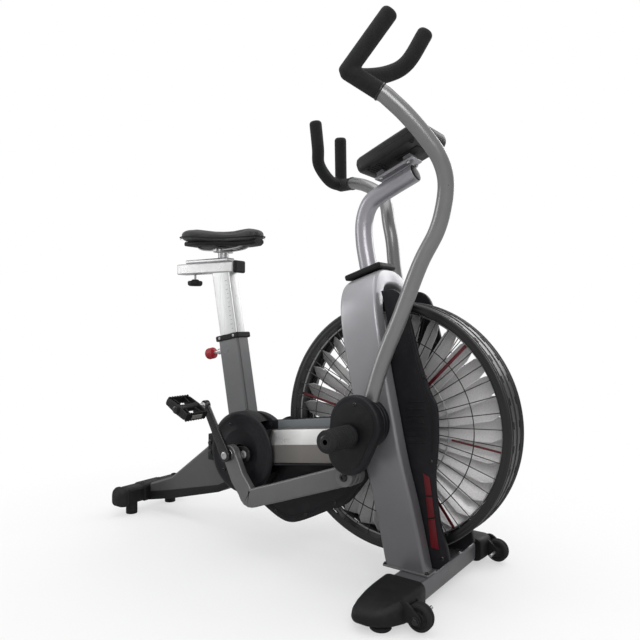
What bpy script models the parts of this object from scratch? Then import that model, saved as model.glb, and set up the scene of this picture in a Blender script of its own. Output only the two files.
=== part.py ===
"""Air bike: fan-resistance exercise bike with two moving arms.

+X is the way the rider faces, +Y the rider's left, +Z up, metres.
The origin is on the floor, in the centre plane, under the middle of the bike's length.
Parts are laid out with x measured from the fan axle; the last step moves the whole bike.
Suffix _R is the rider's right (-Y), _L the left (+Y).
"""
import math

import bmesh
import bpy
from mathutils import Matrix, Vector

# ---------------------------------------------------------------- driving dimensions
BIKE_SHIFT = 0.3475      # fan axle ahead of the middle of the bike
GAP = 0.0003             # clearance between neighbouring parts

FAN_Z = 0.398            # fan axle and arm pivot height
FAN_AXIS = (0.0, FAN_Z)  # x and z
CRANK_AXIS = (-0.427, 0.280)
AXLE_R = 0.0100
BORE_R = 0.0105          # running bore on the 20 mm axle
CLOSE_BORE_R = 0.0103    # closer bore of the crank pulley and foot pegs
COVER_HOLE_R = 0.0125    # hole in the covers around the fan axle

CAGE_R = 0.320           # outer radius of the fan cage
CAGE_HALF = 0.045        # half width of the cage band

PULLEY_R = 0.080
FAN_PULLEY_R = 0.022
BELT_Y = 0.0585          # belt plane, this far to the right
BELT_HALF = 0.0055

PIN_R = 0.033            # crank-pin throw that drives the arm link
PEDAL_R = 0.178
PEDAL_ANGLE = math.radians(130.0)   # right crank arm, from straight ahead
PEDAL_TILT = math.radians(27.0)     # front edge down
PEDAL_Y = 0.2380

LEVER = 0.120            # arm pivot to its lower pin
ARM_SWING = math.radians(30.0)      # left arm behind the right one
REST_ANGLE = math.radians(21.0)     # right lower pin, rearward of straight down

LEG_HX = 0.054           # half of the leg's fore-aft width
LEG_HY = 0.022           # half of its thickness
CROWN_TILT = math.radians(18.0)     # the crown's top is square to the leaning mast
BEAM_IN, BEAM_OUT = 0.0700, 0.1050  # faces of the side beams
STAB_X = 0.115           # front stabilizer
REAR_X = -0.985          # rear stabilizer's cover and caps

WHEEL_AXIS = (0.1890, 0.0335)
WHEEL_Y = 0.2400

SEAT_TILT = math.radians(11.0)
CONSOLE_TILT = math.radians(22.0)
POST_TOP_Z = 0.8170
RAIL_HEIGHT = 0.0345
SADDLE_FLOOR_Z = 0.8995  # the saddle's underside stays above the stem

# ---------------------------------------------------------------- finishes
FRAME_GRAY = dict(colour=(0.23, 0.235, 0.24), roughness=0.38, metallic=0.6)
SILVER = dict(colour=(0.72, 0.73, 0.74), roughness=0.3, metallic=0.8)
BLACK = dict(colour=(0.025, 0.025, 0.028), roughness=0.5, metallic=0.0)
RUBBER = dict(colour=(0.018, 0.018, 0.018), roughness=0.85, metallic=0.0)
STEEL = dict(colour=(0.5, 0.5, 0.52), roughness=0.35, metallic=1.0)
RED = dict(colour=(0.45, 0.02, 0.03), roughness=0.4, metallic=0.0)
BLACK_STEEL = dict(colour=(0.03, 0.03, 0.032), roughness=0.45, metallic=0.3)
BLADE_SILVER = dict(colour=(0.55, 0.55, 0.56), roughness=0.4, metallic=0.6)
SADDLE_COVER = dict(colour=(0.02, 0.02, 0.022), roughness=0.7, metallic=0.0)

# ---------------------------------------------------------------- scene
for old in list(bpy.data.objects):
    bpy.data.objects.remove(old, do_unlink=True)

parts = bpy.data.collections.new("air_bike")
cutters = bpy.data.collections.new("cutters")
bpy.context.scene.collection.children.link(parts)
bpy.context.scene.collection.children.link(cutters)


def material(name, colour, roughness, metallic):
    mat = bpy.data.materials.new(name)
    mat.use_nodes = True
    shader = mat.node_tree.nodes["Principled BSDF"]
    shader.inputs["Base Color"].default_value = (*colour, 1.0)
    shader.inputs["Roughness"].default_value = roughness
    shader.inputs["Metallic"].default_value = metallic
    return mat


# ---------------------------------------------------------------- frames
WORLD = Matrix.Identity(4)
ALONG_Y = Matrix.Rotation(math.radians(-90), 4, 'X')    # turns +Z to +Y


def tilted_frame(origin, rise):
    """Frame at origin whose x axis rises forwards by the angle rise."""
    return Matrix.Translation(origin) @ Matrix.Rotation(-rise, 4, 'Y')


def in_frame(frame, x, z):
    return frame @ Vector((x, 0, z))


# ---------------------------------------------------------------- loose solids
def from_bmesh(name, bm, frame=WORLD):
    """A loose object from a bmesh; add() or cut() links it."""
    mesh = bpy.data.meshes.new(name)
    bmesh.ops.recalc_face_normals(bm, faces=bm.faces)
    bm.to_mesh(mesh)
    bm.free()
    mesh.transform(frame)
    return bpy.data.objects.new(name, mesh)


def box(name, size, centre, frame=WORLD):
    bm = bmesh.new()
    bmesh.ops.create_cube(bm, size=1.0)
    bmesh.ops.scale(bm, vec=size, verts=bm.verts)
    return from_bmesh(name, bm, frame @ Matrix.Translation(centre))


def cylinder(name, radius, length, segments, frame):
    bm = bmesh.new()
    bmesh.ops.create_cone(bm, cap_ends=True, segments=segments, radius1=radius,
                          radius2=radius, depth=length)
    return from_bmesh(name, bm, frame)


def cyl_y(name, radius, y0, y1, axis, segments):
    """Cylinder along Y from y0 to y1; axis is its x and z."""
    x, z = axis
    frame = Matrix.Translation((x, (y0 + y1) / 2, z)) @ ALONG_Y
    return cylinder(name, radius, abs(y1 - y0), segments, frame)


def rod(name, radius, start, end, segments, frame=WORLD):
    """Cylinder between two points given in frame."""
    start, end = frame @ Vector(start), frame @ Vector(end)
    turn = (end - start).to_track_quat('Z', 'Y').to_matrix().to_4x4()
    return cylinder(name, radius, (end - start).length, segments,
                    Matrix.Translation((start + end) / 2) @ turn)


def baked(source, name):
    """The evaluated mesh of source as a new loose object; source is removed."""
    bpy.context.scene.collection.objects.link(source)
    bpy.context.view_layer.update()
    depsgraph = bpy.context.evaluated_depsgraph_get()
    mesh = bpy.data.meshes.new_from_object(source.evaluated_get(depsgraph))
    mesh.transform(source.matrix_world)
    bm = bmesh.new()
    bm.from_mesh(mesh)
    bmesh.ops.remove_doubles(bm, verts=bm.verts, dist=0.00002)
    bm.to_mesh(mesh)
    bm.free()
    bpy.data.objects.remove(source, do_unlink=True)
    return bpy.data.objects.new(name, mesh)


def plate(name, loops, y0, y1):
    """Outline (and holes) in x, z extruded from y0 to y1."""
    curve = bpy.data.curves.new(name, 'CURVE')
    curve.dimensions = '2D'
    curve.fill_mode = 'BOTH'
    curve.extrude = abs(y1 - y0) / 2
    for loop in loops:
        spline = curve.splines.new('POLY')
        spline.points.add(len(loop) - 1)
        for point, (x, z) in zip(spline.points, loop):
            point.co = (x, z, 0, 1)
        spline.use_cyclic_u = True
    source = bpy.data.objects.new(name + "_outline", curve)
    source.matrix_world = (Matrix.Translation((0, (y0 + y1) / 2, 0))
                           @ Matrix.Rotation(math.radians(90), 4, 'X'))
    return baked(source, name)


def tube(name, path, radius, resolution):
    """Round bar along 3-D points."""
    curve = bpy.data.curves.new(name, 'CURVE')
    curve.dimensions = '3D'
    curve.bevel_depth = radius
    curve.bevel_resolution = resolution
    curve.use_fill_caps = True
    spline = curve.splines.new('POLY')
    spline.points.add(len(path) - 1)
    for point, place in zip(spline.points, path):
        point.co = (*place, 1)
    return baked(bpy.data.objects.new(name + "_path", curve), name)


def lathe(name, profile, centre, steps, closed=True, upright=False):
    """Turned shape about Y, or about Z if upright; profile is (radius, height on the axis)."""
    mesh = bpy.data.meshes.new(name)
    edges = [(i, i + 1) for i in range(len(profile) - 1)]
    if closed:
        edges.append((len(profile) - 1, 0))
    mesh.from_pydata([(r, 0.0, h) for r, h in profile], edges, [])
    source = bpy.data.objects.new(name + "_turned", mesh)
    screw = source.modifiers.new("turn", 'SCREW')
    screw.axis = 'Z'
    screw.steps = steps
    screw.render_steps = steps
    screw.use_merge_vertices = True
    screw.merge_threshold = 0.00001
    screw.use_smooth_shade = True
    source.matrix_world = Matrix.Translation(centre) @ (WORLD if upright else ALONG_Y)
    return baked(source, name)


def skin(name, rings, frame=WORLD):
    """Closed skin over rings of points, all with the same count."""
    bm = bmesh.new()
    rings = [[bm.verts.new(point) for point in ring] for ring in rings]
    count = len(rings[0])
    for ring, following in zip(rings, rings[1:]):
        for i in range(count):
            j = (i + 1) % count
            bm.faces.new((ring[i], ring[j], following[j], following[i]))
    bm.faces.new(rings[0][::-1])
    bm.faces.new(rings[-1])
    return from_bmesh(name, bm, frame)


def loft_rect(name, sections, chamfer, frame=WORLD):
    """Skin over chamfered rectangles: (centre, half axis a, half axis b).
    The chamfer is a fraction of half axis b."""
    rings = []
    for centre, half_a, half_b in sections:
        centre, half_a, half_b = Vector(centre), Vector(half_a), Vector(half_b)
        along_a = 1 - chamfer * half_b.length / half_a.length
        along_b = 1 - chamfer
        corners = ((along_a, 1), (1, along_b), (1, -along_b), (along_a, -1),
                   (-along_a, -1), (-1, -along_b), (-1, along_b), (-along_a, 1))
        rings.append([centre + half_a * a + half_b * b for a, b in corners])
    return skin(name, rings, frame)


# ---------------------------------------------------------------- outlines and paths
def arc(centre, radius, start, end, count):
    """Points from start to end, in degrees, in count steps."""
    angles = [math.radians(start + (end - start) * i / count) for i in range(count + 1)]
    return [(centre[0] + radius * math.cos(a), centre[1] + radius * math.sin(a)) for a in angles]


def circle(centre, radius, count):
    return arc(centre, radius, 0, 360 - 360 / count, count - 1)


def capsule(start, end, start_r, end_r, count):
    """Outline around two circles joined by their outer tangents."""
    dx, dz = end[0] - start[0], end[1] - start[1]
    base = math.degrees(math.atan2(dz, dx))
    tangent = math.degrees(math.acos((start_r - end_r) / math.hypot(dx, dz)))
    return (arc(start, start_r, base + tangent, base + 360 - tangent, count)
            + arc(end, end_r, base - tangent, base + tangent, count))


def perpendicular(direction):
    """A 2-D direction turned a quarter turn counter-clockwise."""
    return Vector((-direction.y, direction.x))


def stroke(path, half_width, count):
    """Outline of a bar along x, z points, with round ends."""
    path = [Vector(point) for point in path]
    directions = [(b - a).normalized() for a, b in zip(path, path[1:])]
    left, right = [], []
    for i, point in enumerate(path):
        before = directions[max(0, i - 1)]
        after = directions[min(i, len(directions) - 1)]
        normal = perpendicular((before + after).normalized())
        reach = half_width / max(0.4, normal.dot(perpendicular(before)))
        left.append(tuple(point + normal * reach))
        right.append(tuple(point - normal * reach))
    first, last = (math.degrees(math.atan2(d.y, d.x)) for d in (directions[0], directions[-1]))
    start = arc(path[0], half_width, first + 90, first + 270, count)
    end = arc(path[-1], half_width, last - 90, last + 90, count)
    return start[1:-1] + right + end[1:-1] + left[::-1]


def inset(loop, distance):
    """Counter-clockwise outline moved inwards."""
    count = len(loop)
    moved = []
    for i in range(count):
        before, corner, after = (Vector(loop[(i + k) % count]) for k in (-1, 0, 1))
        normal_in = perpendicular((corner - before).normalized())
        normal_out = perpendicular((after - corner).normalized())
        mitre = (normal_in + normal_out).normalized()
        moved.append(tuple(corner + mitre * (distance / max(0.5, mitre.dot(normal_in)))))
    return moved


def catmull(controls, per_span):
    """Catmull-Rom path through control points."""
    points = [Vector(p) for p in controls]
    points = [2 * points[0] - points[1]] + points + [2 * points[-1] - points[-2]]
    path = []
    for p0, p1, p2, p3 in zip(points, points[1:], points[2:], points[3:]):
        for k in range(per_span):
            t = k / per_span
            path.append(0.5 * ((2 * p1) + (p2 - p0) * t
                               + (2 * p0 - 5 * p1 + 4 * p2 - p3) * t * t
                               + (3 * p1 - p0 - 3 * p2 + p3) * t ** 3))
    path.append(points[-2])
    return path


# ---------------------------------------------------------------- modifiers and finishing
def cut(ob, *tools, op='DIFFERENCE'):
    """Boolean ob with each tool; the modifiers stay on the object."""
    for tool in tools:
        tool.hide_render = True
        tool.display_type = 'WIRE'
        cutters.objects.link(tool)
        boolean = ob.modifiers.new(op.lower() + "_" + tool.name, 'BOOLEAN')
        boolean.operation = op
        boolean.solver = 'EXACT'
        boolean.object = tool
    return ob


def join(ob, *others):
    return cut(ob, *others, op='UNION')


def bevel(ob, width, segments, angle=40.0):
    weld = ob.modifiers.new("weld", 'WELD')
    weld.merge_threshold = 0.00002
    edge = ob.modifiers.new("edge", 'BEVEL')
    edge.width = width
    edge.segments = segments
    edge.limit_method = 'ANGLE'
    edge.angle_limit = math.radians(angle)
    edge.harden_normals = False
    return ob


def add(ob, finish, origin=None):
    """Finish a part and link it; origin moves its origin but not its shape."""
    mesh = ob.data
    mesh.materials.clear()
    mesh.materials.append(material(ob.name + "_mat", **finish))
    parts.objects.link(ob)
    mesh.shade_smooth()
    mesh.set_sharp_from_angle(angle=math.radians(35.0))
    if origin is not None:
        origin = Vector(origin)
        mesh.transform(Matrix.Translation(-origin))
        ob.location = origin
    return ob


def add_pair(ob, finish, origin=None, turn=0.0):
    """Add a right-hand part and its left-hand mirror image, turned about the fan axle."""
    right = add(ob, finish, origin)
    bpy.context.view_layer.update()
    depsgraph = bpy.context.evaluated_depsgraph_get()
    mesh = bpy.data.meshes.new_from_object(right.evaluated_get(depsgraph))
    mesh.transform(right.matrix_world)
    mesh.transform(Matrix.Diagonal((1, -1, 1, 1)))
    mesh.flip_normals()
    if turn:
        pivot = Vector((0, 0, FAN_Z))
        mesh.transform(Matrix.Translation(pivot) @ Matrix.Rotation(turn, 4, 'Y')
                       @ Matrix.Translation(-pivot))
    if origin is not None:
        origin = (origin[0], -origin[1], origin[2])
    add(bpy.data.objects.new(right.name[:-1] + "L", mesh), finish, origin)


# ---------------------------------------------------------------- ground frame
def front_stabilizer():
    bar = box("front_stabilizer", (0.080, 0.339, 0.050), (STAB_X, 0, 0.045))
    add(bevel(bar, 0.008, 2), FRAME_GRAY)

    cap = loft_rect("front_end_cap_R", [
        ((STAB_X, -0.1700, 0.046), (0.052, 0, 0), (0, 0, 0.030)),
        ((STAB_X, -0.2300, 0.043), (0.058, 0, 0), (0, 0, 0.029)),
        ((STAB_X - 0.012, -0.2850, 0.036), (0.048, 0, 0), (0, 0, 0.022)),
        ((STAB_X - 0.030, -0.3200, 0.031), (0.024, 0, 0), (0, 0, 0.014))], 0.3)
    # the lug reaches forward on the inner side of the wheel and carries its axle
    join(cap,
         box("wheel_lug_R", (0.040, 0.050, 0.030), (STAB_X + 0.062, -0.2000, 0.045)),
         rod("front_foot_R", 0.024, (0.112, -0.275, 0.0), (0.112, -0.275, 0.030), 20))
    cut(cap,
        box("wheel_slot_R", (0.080, 0.030, 0.090), (0.195, -WHEEL_Y, 0.033)),
        cyl_y("axle_bore_R", 0.0043, -0.30, -0.18, WHEEL_AXIS, 16))
    add_pair(cap, BLACK)


def transport_wheels():
    x, z = WHEEL_AXIS
    profile = [(0.0046, 0.0125), (0.0240, 0.0125), (0.0300, 0.0090),
               (0.0300, -0.0090), (0.0240, -0.0125), (0.0046, -0.0125)]
    centre = (x, -WHEEL_Y, z)
    add_pair(lathe("transport_wheel_R", profile, centre, 20), RUBBER, centre)
    add_pair(cyl_y("wheel_axle_R", 0.0040, -0.2560, -0.1840, WHEEL_AXIS, 16), STEEL)


# side outline of the spine: x, z
SPINE = [(-0.955, 0.038), (-0.955, 0.094), (-0.842, 0.134), (-0.683, 0.250), (-0.600, 0.3120),
         (-0.5812, 0.3215), (-0.4950, 0.3383), (-0.455, 0.330), (-0.440, 0.300),
         (-0.455, 0.262), (-0.520, 0.170), (-0.620, 0.120), (-0.832, 0.064)]


def rear_spine():
    spine = bevel(plate("rear_spine", [SPINE], -0.030, 0.030), 0.006, 1, 50)
    # the yoke reaches out to both side beams
    join(spine, box("yoke", (0.045, 2 * BEAM_IN - 0.001, 0.060), (-0.567, 0, 0.277)))
    add(spine, FRAME_GRAY)


def rear_stabilizer():
    bar_x, bar_z, bar_size = REAR_X - 0.0005, 0.063, 0.055
    bar = box("rear_stabilizer", (bar_size, 0.230, bar_size), (bar_x, 0, bar_z))
    bevel(bar, 0.010, 2)
    foot_x, foot_y = REAR_X + 0.006, 0.0850
    join(bar, *[rod("rear_foot_%d" % k, 0.0190, (foot_x, k * foot_y, 0.0),
                    (foot_x, k * foot_y, 0.045), 20) for k in (-1, 1)])
    add(bar, BLACK)

    add_pair(loft_rect("rear_end_cap_R", [
        ((REAR_X, -0.1153, 0.062), (0.030, 0, 0), (0, 0, 0.030)),
        ((REAR_X, -0.1330, 0.061), (0.029, 0, 0), (0, 0, 0.029)),
        ((REAR_X, -0.1460, 0.058), (0.021, 0, 0), (0, 0, 0.021))], 0.35), RUBBER)

    # sleeve over the joint of spine and rear stabilizer
    sleeve = box("rear_joint_cover", (0.0595, 0.1060, 0.0600), (REAR_X, 0, bar_z))
    bevel(sleeve, 0.010, 2)
    room_size = bar_size + 2 * GAP
    room = box("stab_room", (room_size, 0.300, room_size), (bar_x, 0, bar_z))
    cut(sleeve, bevel(room, 0.010, 2),
        box("spine_room", (0.0200, 0.060 + 2 * GAP, 0.120), (-0.9455, 0, bar_z)))
    add(sleeve, BLACK)


# ---------------------------------------------------------------- tower
# centre line of the right leg, floor to crown: x, y, z
LEG = [(0.094, -0.105, 0.0705), (0.058, -0.105, 0.220), (0.027, -0.105, 0.330),
       (0.000, -0.105, 0.450), (-0.026, -0.105, 0.570), (-0.043, -0.102, 0.650),
       (-0.056, -0.090, 0.704), (-0.066, -0.068, 0.743), (-0.072, -0.038, 0.763),
       (-0.075, 0.000, 0.768)]
TILT_FROM_Z, TILT_TO_Z = 0.570, 0.763   # sections tilt gradually between these heights
CROWN = tilted_frame(LEG[-1], CROWN_TILT)


def tower_frame():
    path = LEG + [(x, -y, z) for x, y, z in LEG[-2::-1]]
    sections = []
    for i, centre in enumerate(path):
        before = Vector(path[max(0, i - 1)])
        after = Vector(path[min(len(path) - 1, i + 1)])
        direction = after - before
        share = (centre[2] - TILT_FROM_Z) / (TILT_TO_Z - TILT_FROM_Z)
        tilt = CROWN_TILT * min(1.0, max(0.0, share))
        fore = Vector((math.cos(tilt), 0, math.sin(tilt)))
        normal = direction.cross(fore)
        if i in (0, len(path) - 1):
            # the feet are cut level
            normal = Vector((0, math.copysign(1, direction.z), 0))
        sections.append((centre, fore * LEG_HX, normal.normalized() * LEG_HY))
    tower = loft_rect("tower_frame", sections, 0.28)
    cut(tower, cyl_y("tower_axle_bore", BORE_R, -0.2, 0.2, FAN_AXIS, 24))
    add(tower, FRAME_GRAY)


# side outlines: x, z
COVER = [(-0.004, 0.742), (0.030, 0.745), (0.060, 0.720), (0.084, 0.645), (0.104, 0.572),
         (0.131, 0.500), (0.150, 0.462), (0.154, 0.410), (0.153, 0.355), (0.148, 0.285),
         (0.160, 0.190), (0.178, 0.135), (0.186, 0.102), (0.160, 0.076), (0.060, 0.076),
         (0.030, 0.220), (0.000, 0.330), (-0.030, 0.450), (-0.045, 0.555), (0.0315, 0.572),
         (0.0170, 0.652), (0.0050, 0.712)]
STRIP = [(0.118, 0.300), (0.135, 0.292), (0.150, 0.190), (0.160, 0.125), (0.140, 0.125),
         (0.132, 0.190)]
BEAM = [(-0.592, 0.240), (-0.592, 0.318), (-0.300, 0.3620), (-0.0425, 0.3930),
        (-0.0215, 0.3045), (-0.300, 0.2690), (-0.520, 0.236)]


def inner_covers():
    """Covers between each leg and the cage, with a strip on the right one's outer face."""
    hole = circle(FAN_AXIS, COVER_HOLE_R, 24)
    add_pair(plate("inner_cover_R", [COVER, hole], -0.0825, -0.0708), BLACK)
    add(plate("accent_strip", [STRIP], -0.0845, -0.0829), RED)


def side_beams():
    """Beams from each leg back past the crank."""
    hole = circle(CRANK_AXIS, 0.0215, 28)
    beam = plate("side_beam_R", [BEAM, hole], -BEAM_OUT, -BEAM_IN)
    add_pair(bevel(beam, 0.009, 1, 50), SILVER)


# ---------------------------------------------------------------- seat
# on the seat tube's axis; z runs up the tube, x forwards across it
SEAT = tilted_frame((-0.590, 0, 0.610), SEAT_TILT)
TUBE_LO, TUBE_HI = -0.2815, 0.010
POST_LO, POST_HI = -0.150, 0.2085
PULL_PIN_Z = -0.035      # along the tube


def seat_tube():
    middle = (0, 0, (TUBE_LO + TUBE_HI) / 2)
    shell = box("seat_tube", (0.084, 0.050, TUBE_HI - TUBE_LO), middle, SEAT)
    bevel(shell, 0.006, 2)
    cut(shell,
        box("seat_tube_bore", (0.0755, 0.0415, 0.40), (0, 0, -0.120), SEAT),
        rod("pin_bore", 0.0060, (-0.080, 0, PULL_PIN_Z), (-0.036, 0, PULL_PIN_Z), 16, SEAT))
    add(shell, FRAME_GRAY)

    collar_at = (0, 0, 0.002)
    collar = bevel(box("seat_collar", (0.096, 0.062, 0.018), collar_at, SEAT), 0.004, 2)
    cut(collar, box("collar_bore", (0.0847, 0.0507, 0.05), collar_at, SEAT))
    add(collar, BLACK)


def seat_post():
    middle = (0, 0, (POST_LO + POST_HI) / 2)
    post = box("seat_post", (0.0745, 0.0405, POST_HI - POST_LO), middle, SEAT)
    bevel(post, 0.005, 2)
    # the top of the post is cut level to carry the rail
    cut(post, box("post_level", (0.3, 0.2, 0.1), (-0.63, 0, POST_TOP_Z + 0.1 / 2)))
    add(post, SILVER, in_frame(SEAT, 0, 0))


def seat_slider():
    rail_z = POST_TOP_Z + GAP + RAIL_HEIGHT / 2
    rail = box("seat_rail", (0.258, 0.044, RAIL_HEIGHT), (-0.703, 0, rail_z))
    bevel(rail, 0.004, 2)
    cut(rail, box("rail_slot", (0.096, 0.0110, 0.10), (-0.758, 0, 0.835)))
    add(rail, SILVER, (-0.696, 0, 0.8345))

    cap = box("slider_cap", (0.014, 0.048, 0.039), (-0.5664, 0, 0.8345))
    add(bevel(cap, 0.005, 2), BLACK, (-0.560, 0, 0.8345))

    carriage = box("saddle_carriage", (0.190, 0.040, 0.012), (-0.6980, 0, 0.8585))
    bevel(carriage, 0.003, 1)
    join(carriage, rod("saddle_stem", 0.014, (-0.636, 0, 0.860), (-0.636, 0, 0.8990), 20))
    add(carriage, STEEL, (-0.6950, 0, 0.8585))

    # knob under the rail, its stud pointing up
    profile = [(0.0, 0.0445), (0.0040, 0.0445), (0.0040, 0.0100), (0.0120, 0.0100),
               (0.0140, 0.0060), (0.0240, 0.0060), (0.0250, -0.0060), (0.0180, -0.0120),
               (0.0, -0.0120)]
    centre = (-0.7650, 0, 0.7900)
    knob = lathe("slider_knob", profile, centre, 24, closed=False, upright=True)
    add(knob, BLACK, centre)


def pull_pin():
    """Pin with a round head behind the seat tube."""
    def piece(name, radius, start, end, segments):
        return rod(name, radius, (-start, 0, PULL_PIN_Z), (-end, 0, PULL_PIN_Z), segments, SEAT)

    pin = piece("pull_pin", 0.0053, 0.0380, 0.0950, 12)
    join(pin, piece("pin_boss", 0.0095, 0.0430, 0.0700, 14),
         piece("pin_head", 0.0185, 0.0900, 0.1200, 20))
    add(pin, RED, in_frame(SEAT, -0.09, PULL_PIN_Z))


# stations from the tail to the nose: x, half width, bottom z, top z
SADDLE = [(-0.760, 0.085, 0.905, 0.958), (-0.720, 0.108, 0.898, 0.964),
          (-0.660, 0.100, 0.900, 0.957), (-0.600, 0.068, 0.902, 0.951),
          (-0.540, 0.046, 0.904, 0.953), (-0.492, 0.036, 0.906, 0.953),
          (-0.474, 0.024, 0.912, 0.946)]


def saddle():
    """A coarse wedge, nose forward, dished along its length."""
    rings = []
    for x, half_width, bottom, top in SADDLE:
        under = max(bottom, SADDLE_FLOOR_Z)
        side = bottom + 0.45 * (top - bottom)
        shoulder = top - 0.004
        # share of the half width, z
        profile = [(-0.72, under), (-1.0, side), (-0.86, shoulder), (-0.40, top),
                   (0.40, top), (0.86, shoulder), (1.0, side), (0.72, under)]
        rings.append([(x, share * half_width, z) for share, z in profile])
    pad = skin("saddle", rings)
    soft = pad.modifiers.new("soft", 'SUBSURF')
    soft.levels = 1
    soft.render_levels = 1
    add(pad, SADDLE_COVER, (-0.636, 0, 0.90))


# ---------------------------------------------------------------- mast and console
def mast():
    bend = [in_frame(CROWN, 0, LEG_HY + 0.0300), (-0.1030, 0, 0.880), (-0.1040, 0, 0.938),
            (-0.0850, 0, 0.985), (-0.0400, 0, 1.012), (0.0480, 0, 1.050)]
    path = [in_frame(CROWN, 0, LEG_HY + 0.0006)] + catmull(bend, 3)
    add(tube("mast_tube", path, 0.0240, 3), FRAME_GRAY)

    collar = box("mast_collar", (0.114, 0.090, 0.0160), (0, 0, LEG_HY + 0.0086), CROWN)
    bevel(collar, 0.005, 2)
    cut(collar, rod("mast_room", 0.0248, (0, 0, 0), (0, 0, 0.08), 32, CROWN))
    add(collar, BLACK)


# on the bent end of the mast; x runs up the console's face, z out of it
CONSOLE = tilted_frame((0.010, 0, 1.036), CONSOLE_TILT)
HOUSING_Z = 0.0680
SCREEN_X = 0.020
BUTTON_X = -0.060
# stations: x, half width, half thickness
HOUSING = [(-0.082, 0.060, 0.014), (-0.070, 0.074, 0.0195), (0.108, 0.080, 0.0195),
           (0.130, 0.066, 0.012)]


def console():
    bracket = box("console_bracket", (0.120, 0.058, 0.0100), (0, 0, 0.0305), CONSOLE)
    bevel(bracket, 0.003, 1)
    join(bracket, *[box(name, (0.022, 0.040, 0.016), (x, 0, 0.0400), CONSOLE)
                    for name, x in (("bracket_post_1", -0.042), ("bracket_post_2", 0.042))])
    add(bracket, FRAME_GRAY)

    housing = loft_rect("console_housing", [
        ((x, 0, HOUSING_Z), (0, half_y, 0), (0, 0, half_z))
        for x, half_y, half_z in HOUSING], 0.3, CONSOLE)
    cut(housing,
        box("screen_recess", (0.075, 0.110, 0.006), (SCREEN_X, 0, 0.0875), CONSOLE),
        rod("button_bore", 0.0095, (BUTTON_X, 0, 0.0780), (BUTTON_X, 0, 0.100), 24, CONSOLE))
    add(housing, BLACK)
    screen = box("console_screen", (0.0744, 0.1094, 0.0024), (SCREEN_X, 0, 0.0860), CONSOLE)
    add(screen, BLACK)
    button = rod("console_button", 0.0090, (BUTTON_X, 0, 0.0805), (BUTTON_X, 0, 0.0895), 24,
                 CONSOLE)
    add(button, RED, in_frame(CONSOLE, BUTTON_X, 0.085))


# ---------------------------------------------------------------- fan
def cage_grilles():
    """Guard plates: rim, hub ring and radial bars left between the windows."""
    bars, bar_half = 14, 0.0022
    inner_r, outer_r = 0.052, 0.304
    inner_half, outer_half = (180.0 / bars - math.degrees(bar_half / r)
                              for r in (inner_r, outer_r))
    loops = [circle(FAN_AXIS, CAGE_R, 48), circle(FAN_AXIS, 0.0130, 16)]
    for k in range(bars):
        mid = 360.0 * k / bars
        loops.append(arc(FAN_AXIS, inner_r, mid - inner_half, mid + inner_half, 1)
                     + arc(FAN_AXIS, outer_r, mid + outer_half, mid - outer_half, 3))
    inside = CAGE_HALF + GAP
    for name, side in (("cage_grille_R", -1), ("cage_grille_L", 1)):
        add(plate(name, loops, side * inside, side * (inside + 0.003)), BLACK_STEEL)


def cage_band():
    wall_r = CAGE_R - 0.004
    profile = [(wall_r, CAGE_HALF), (CAGE_R, CAGE_HALF), (CAGE_R, -CAGE_HALF),
               (wall_r, -CAGE_HALF)]
    band = lathe("cage_band", profile, (0, 0, FAN_Z), 40)
    slots = bmesh.new()
    for k in range(10):
        angle = math.radians(36.0 * k + 18.0)
        frame = (Matrix.Translation((0, 0, FAN_Z)) @ Matrix.Rotation(angle, 4, 'Y')
                 @ Matrix.Translation((CAGE_R, 0, 0)) @ Matrix.Diagonal((0.04, 0.056, 0.140, 1)))
        bmesh.ops.create_cube(slots, size=1.0, matrix=frame)
    cut(band, from_bmesh("band_slots", slots))
    add(band, BLACK_STEEL)


def fan_wheel():
    blades = 18
    hub_r, tip_r, blade_half = 0.060, 0.296, 0.0018
    root_r = hub_r * math.cos(math.asin(blade_half / hub_r))
    outline = []
    for k in range(blades):
        angle = 2 * math.pi * k / blades
        cos, sin = math.cos(angle), math.sin(angle)
        for r, across in ((root_r, -blade_half), (tip_r, -blade_half),
                          (tip_r, blade_half), (root_r, blade_half)):
            outline.append((r * cos - across * sin, FAN_Z + r * sin + across * cos))
        between = angle + math.pi / blades
        outline.append((hub_r * math.cos(between), FAN_Z + hub_r * math.sin(between)))
    fan = plate("fan_wheel", [outline, circle(FAN_AXIS, BORE_R, 24)], -0.036, 0.036)
    add(fan, BLADE_SILVER, (0, 0, FAN_Z))


def fan_axle():
    profile = [(BORE_R, 0.0097), (0.0240, 0.0097), (0.0240, 0.0066), (FAN_PULLEY_R, 0.0066),
               (FAN_PULLEY_R, -0.0066), (0.0250, -0.0066), (0.0250, -0.0080),
               (BORE_R, -0.0080)]
    centre = (0, -BELT_Y, FAN_Z)
    add(lathe("fan_pulley", profile, centre, 20), STEEL, centre)
    add(cyl_y("fan_axle", AXLE_R, -0.330, 0.330, FAN_AXIS, 24), STEEL)


# ---------------------------------------------------------------- crank drive and guards
def crank_drive():
    x, z = CRANK_AXIS
    add(cyl_y("crank_spindle", AXLE_R, -0.1155, 0.1155, CRANK_AXIS, 24), STEEL, (x, 0, z))
    profile = [(CLOSE_BORE_R, 0.0150), (0.0220, 0.0150), (0.0240, 0.0030), (0.0650, 0.0030),
               (0.0680, 0.0060), (PULLEY_R, 0.0060), (PULLEY_R, -0.0060), (0.0240, -0.0060),
               (CLOSE_BORE_R, -0.0060)]
    centre = (x, -BELT_Y, z)
    add(lathe("crank_pulley", profile, centre, 32), BLACK, centre)

    loops = [capsule(CRANK_AXIS, FAN_AXIS, PULLEY_R + offset, FAN_PULLEY_R + offset, 18)
             for offset in (GAP + 0.0023, 2 * GAP)]
    add(plate("drive_belt", loops, -BELT_Y - BELT_HALF, -BELT_Y + BELT_HALF), RUBBER)


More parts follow.
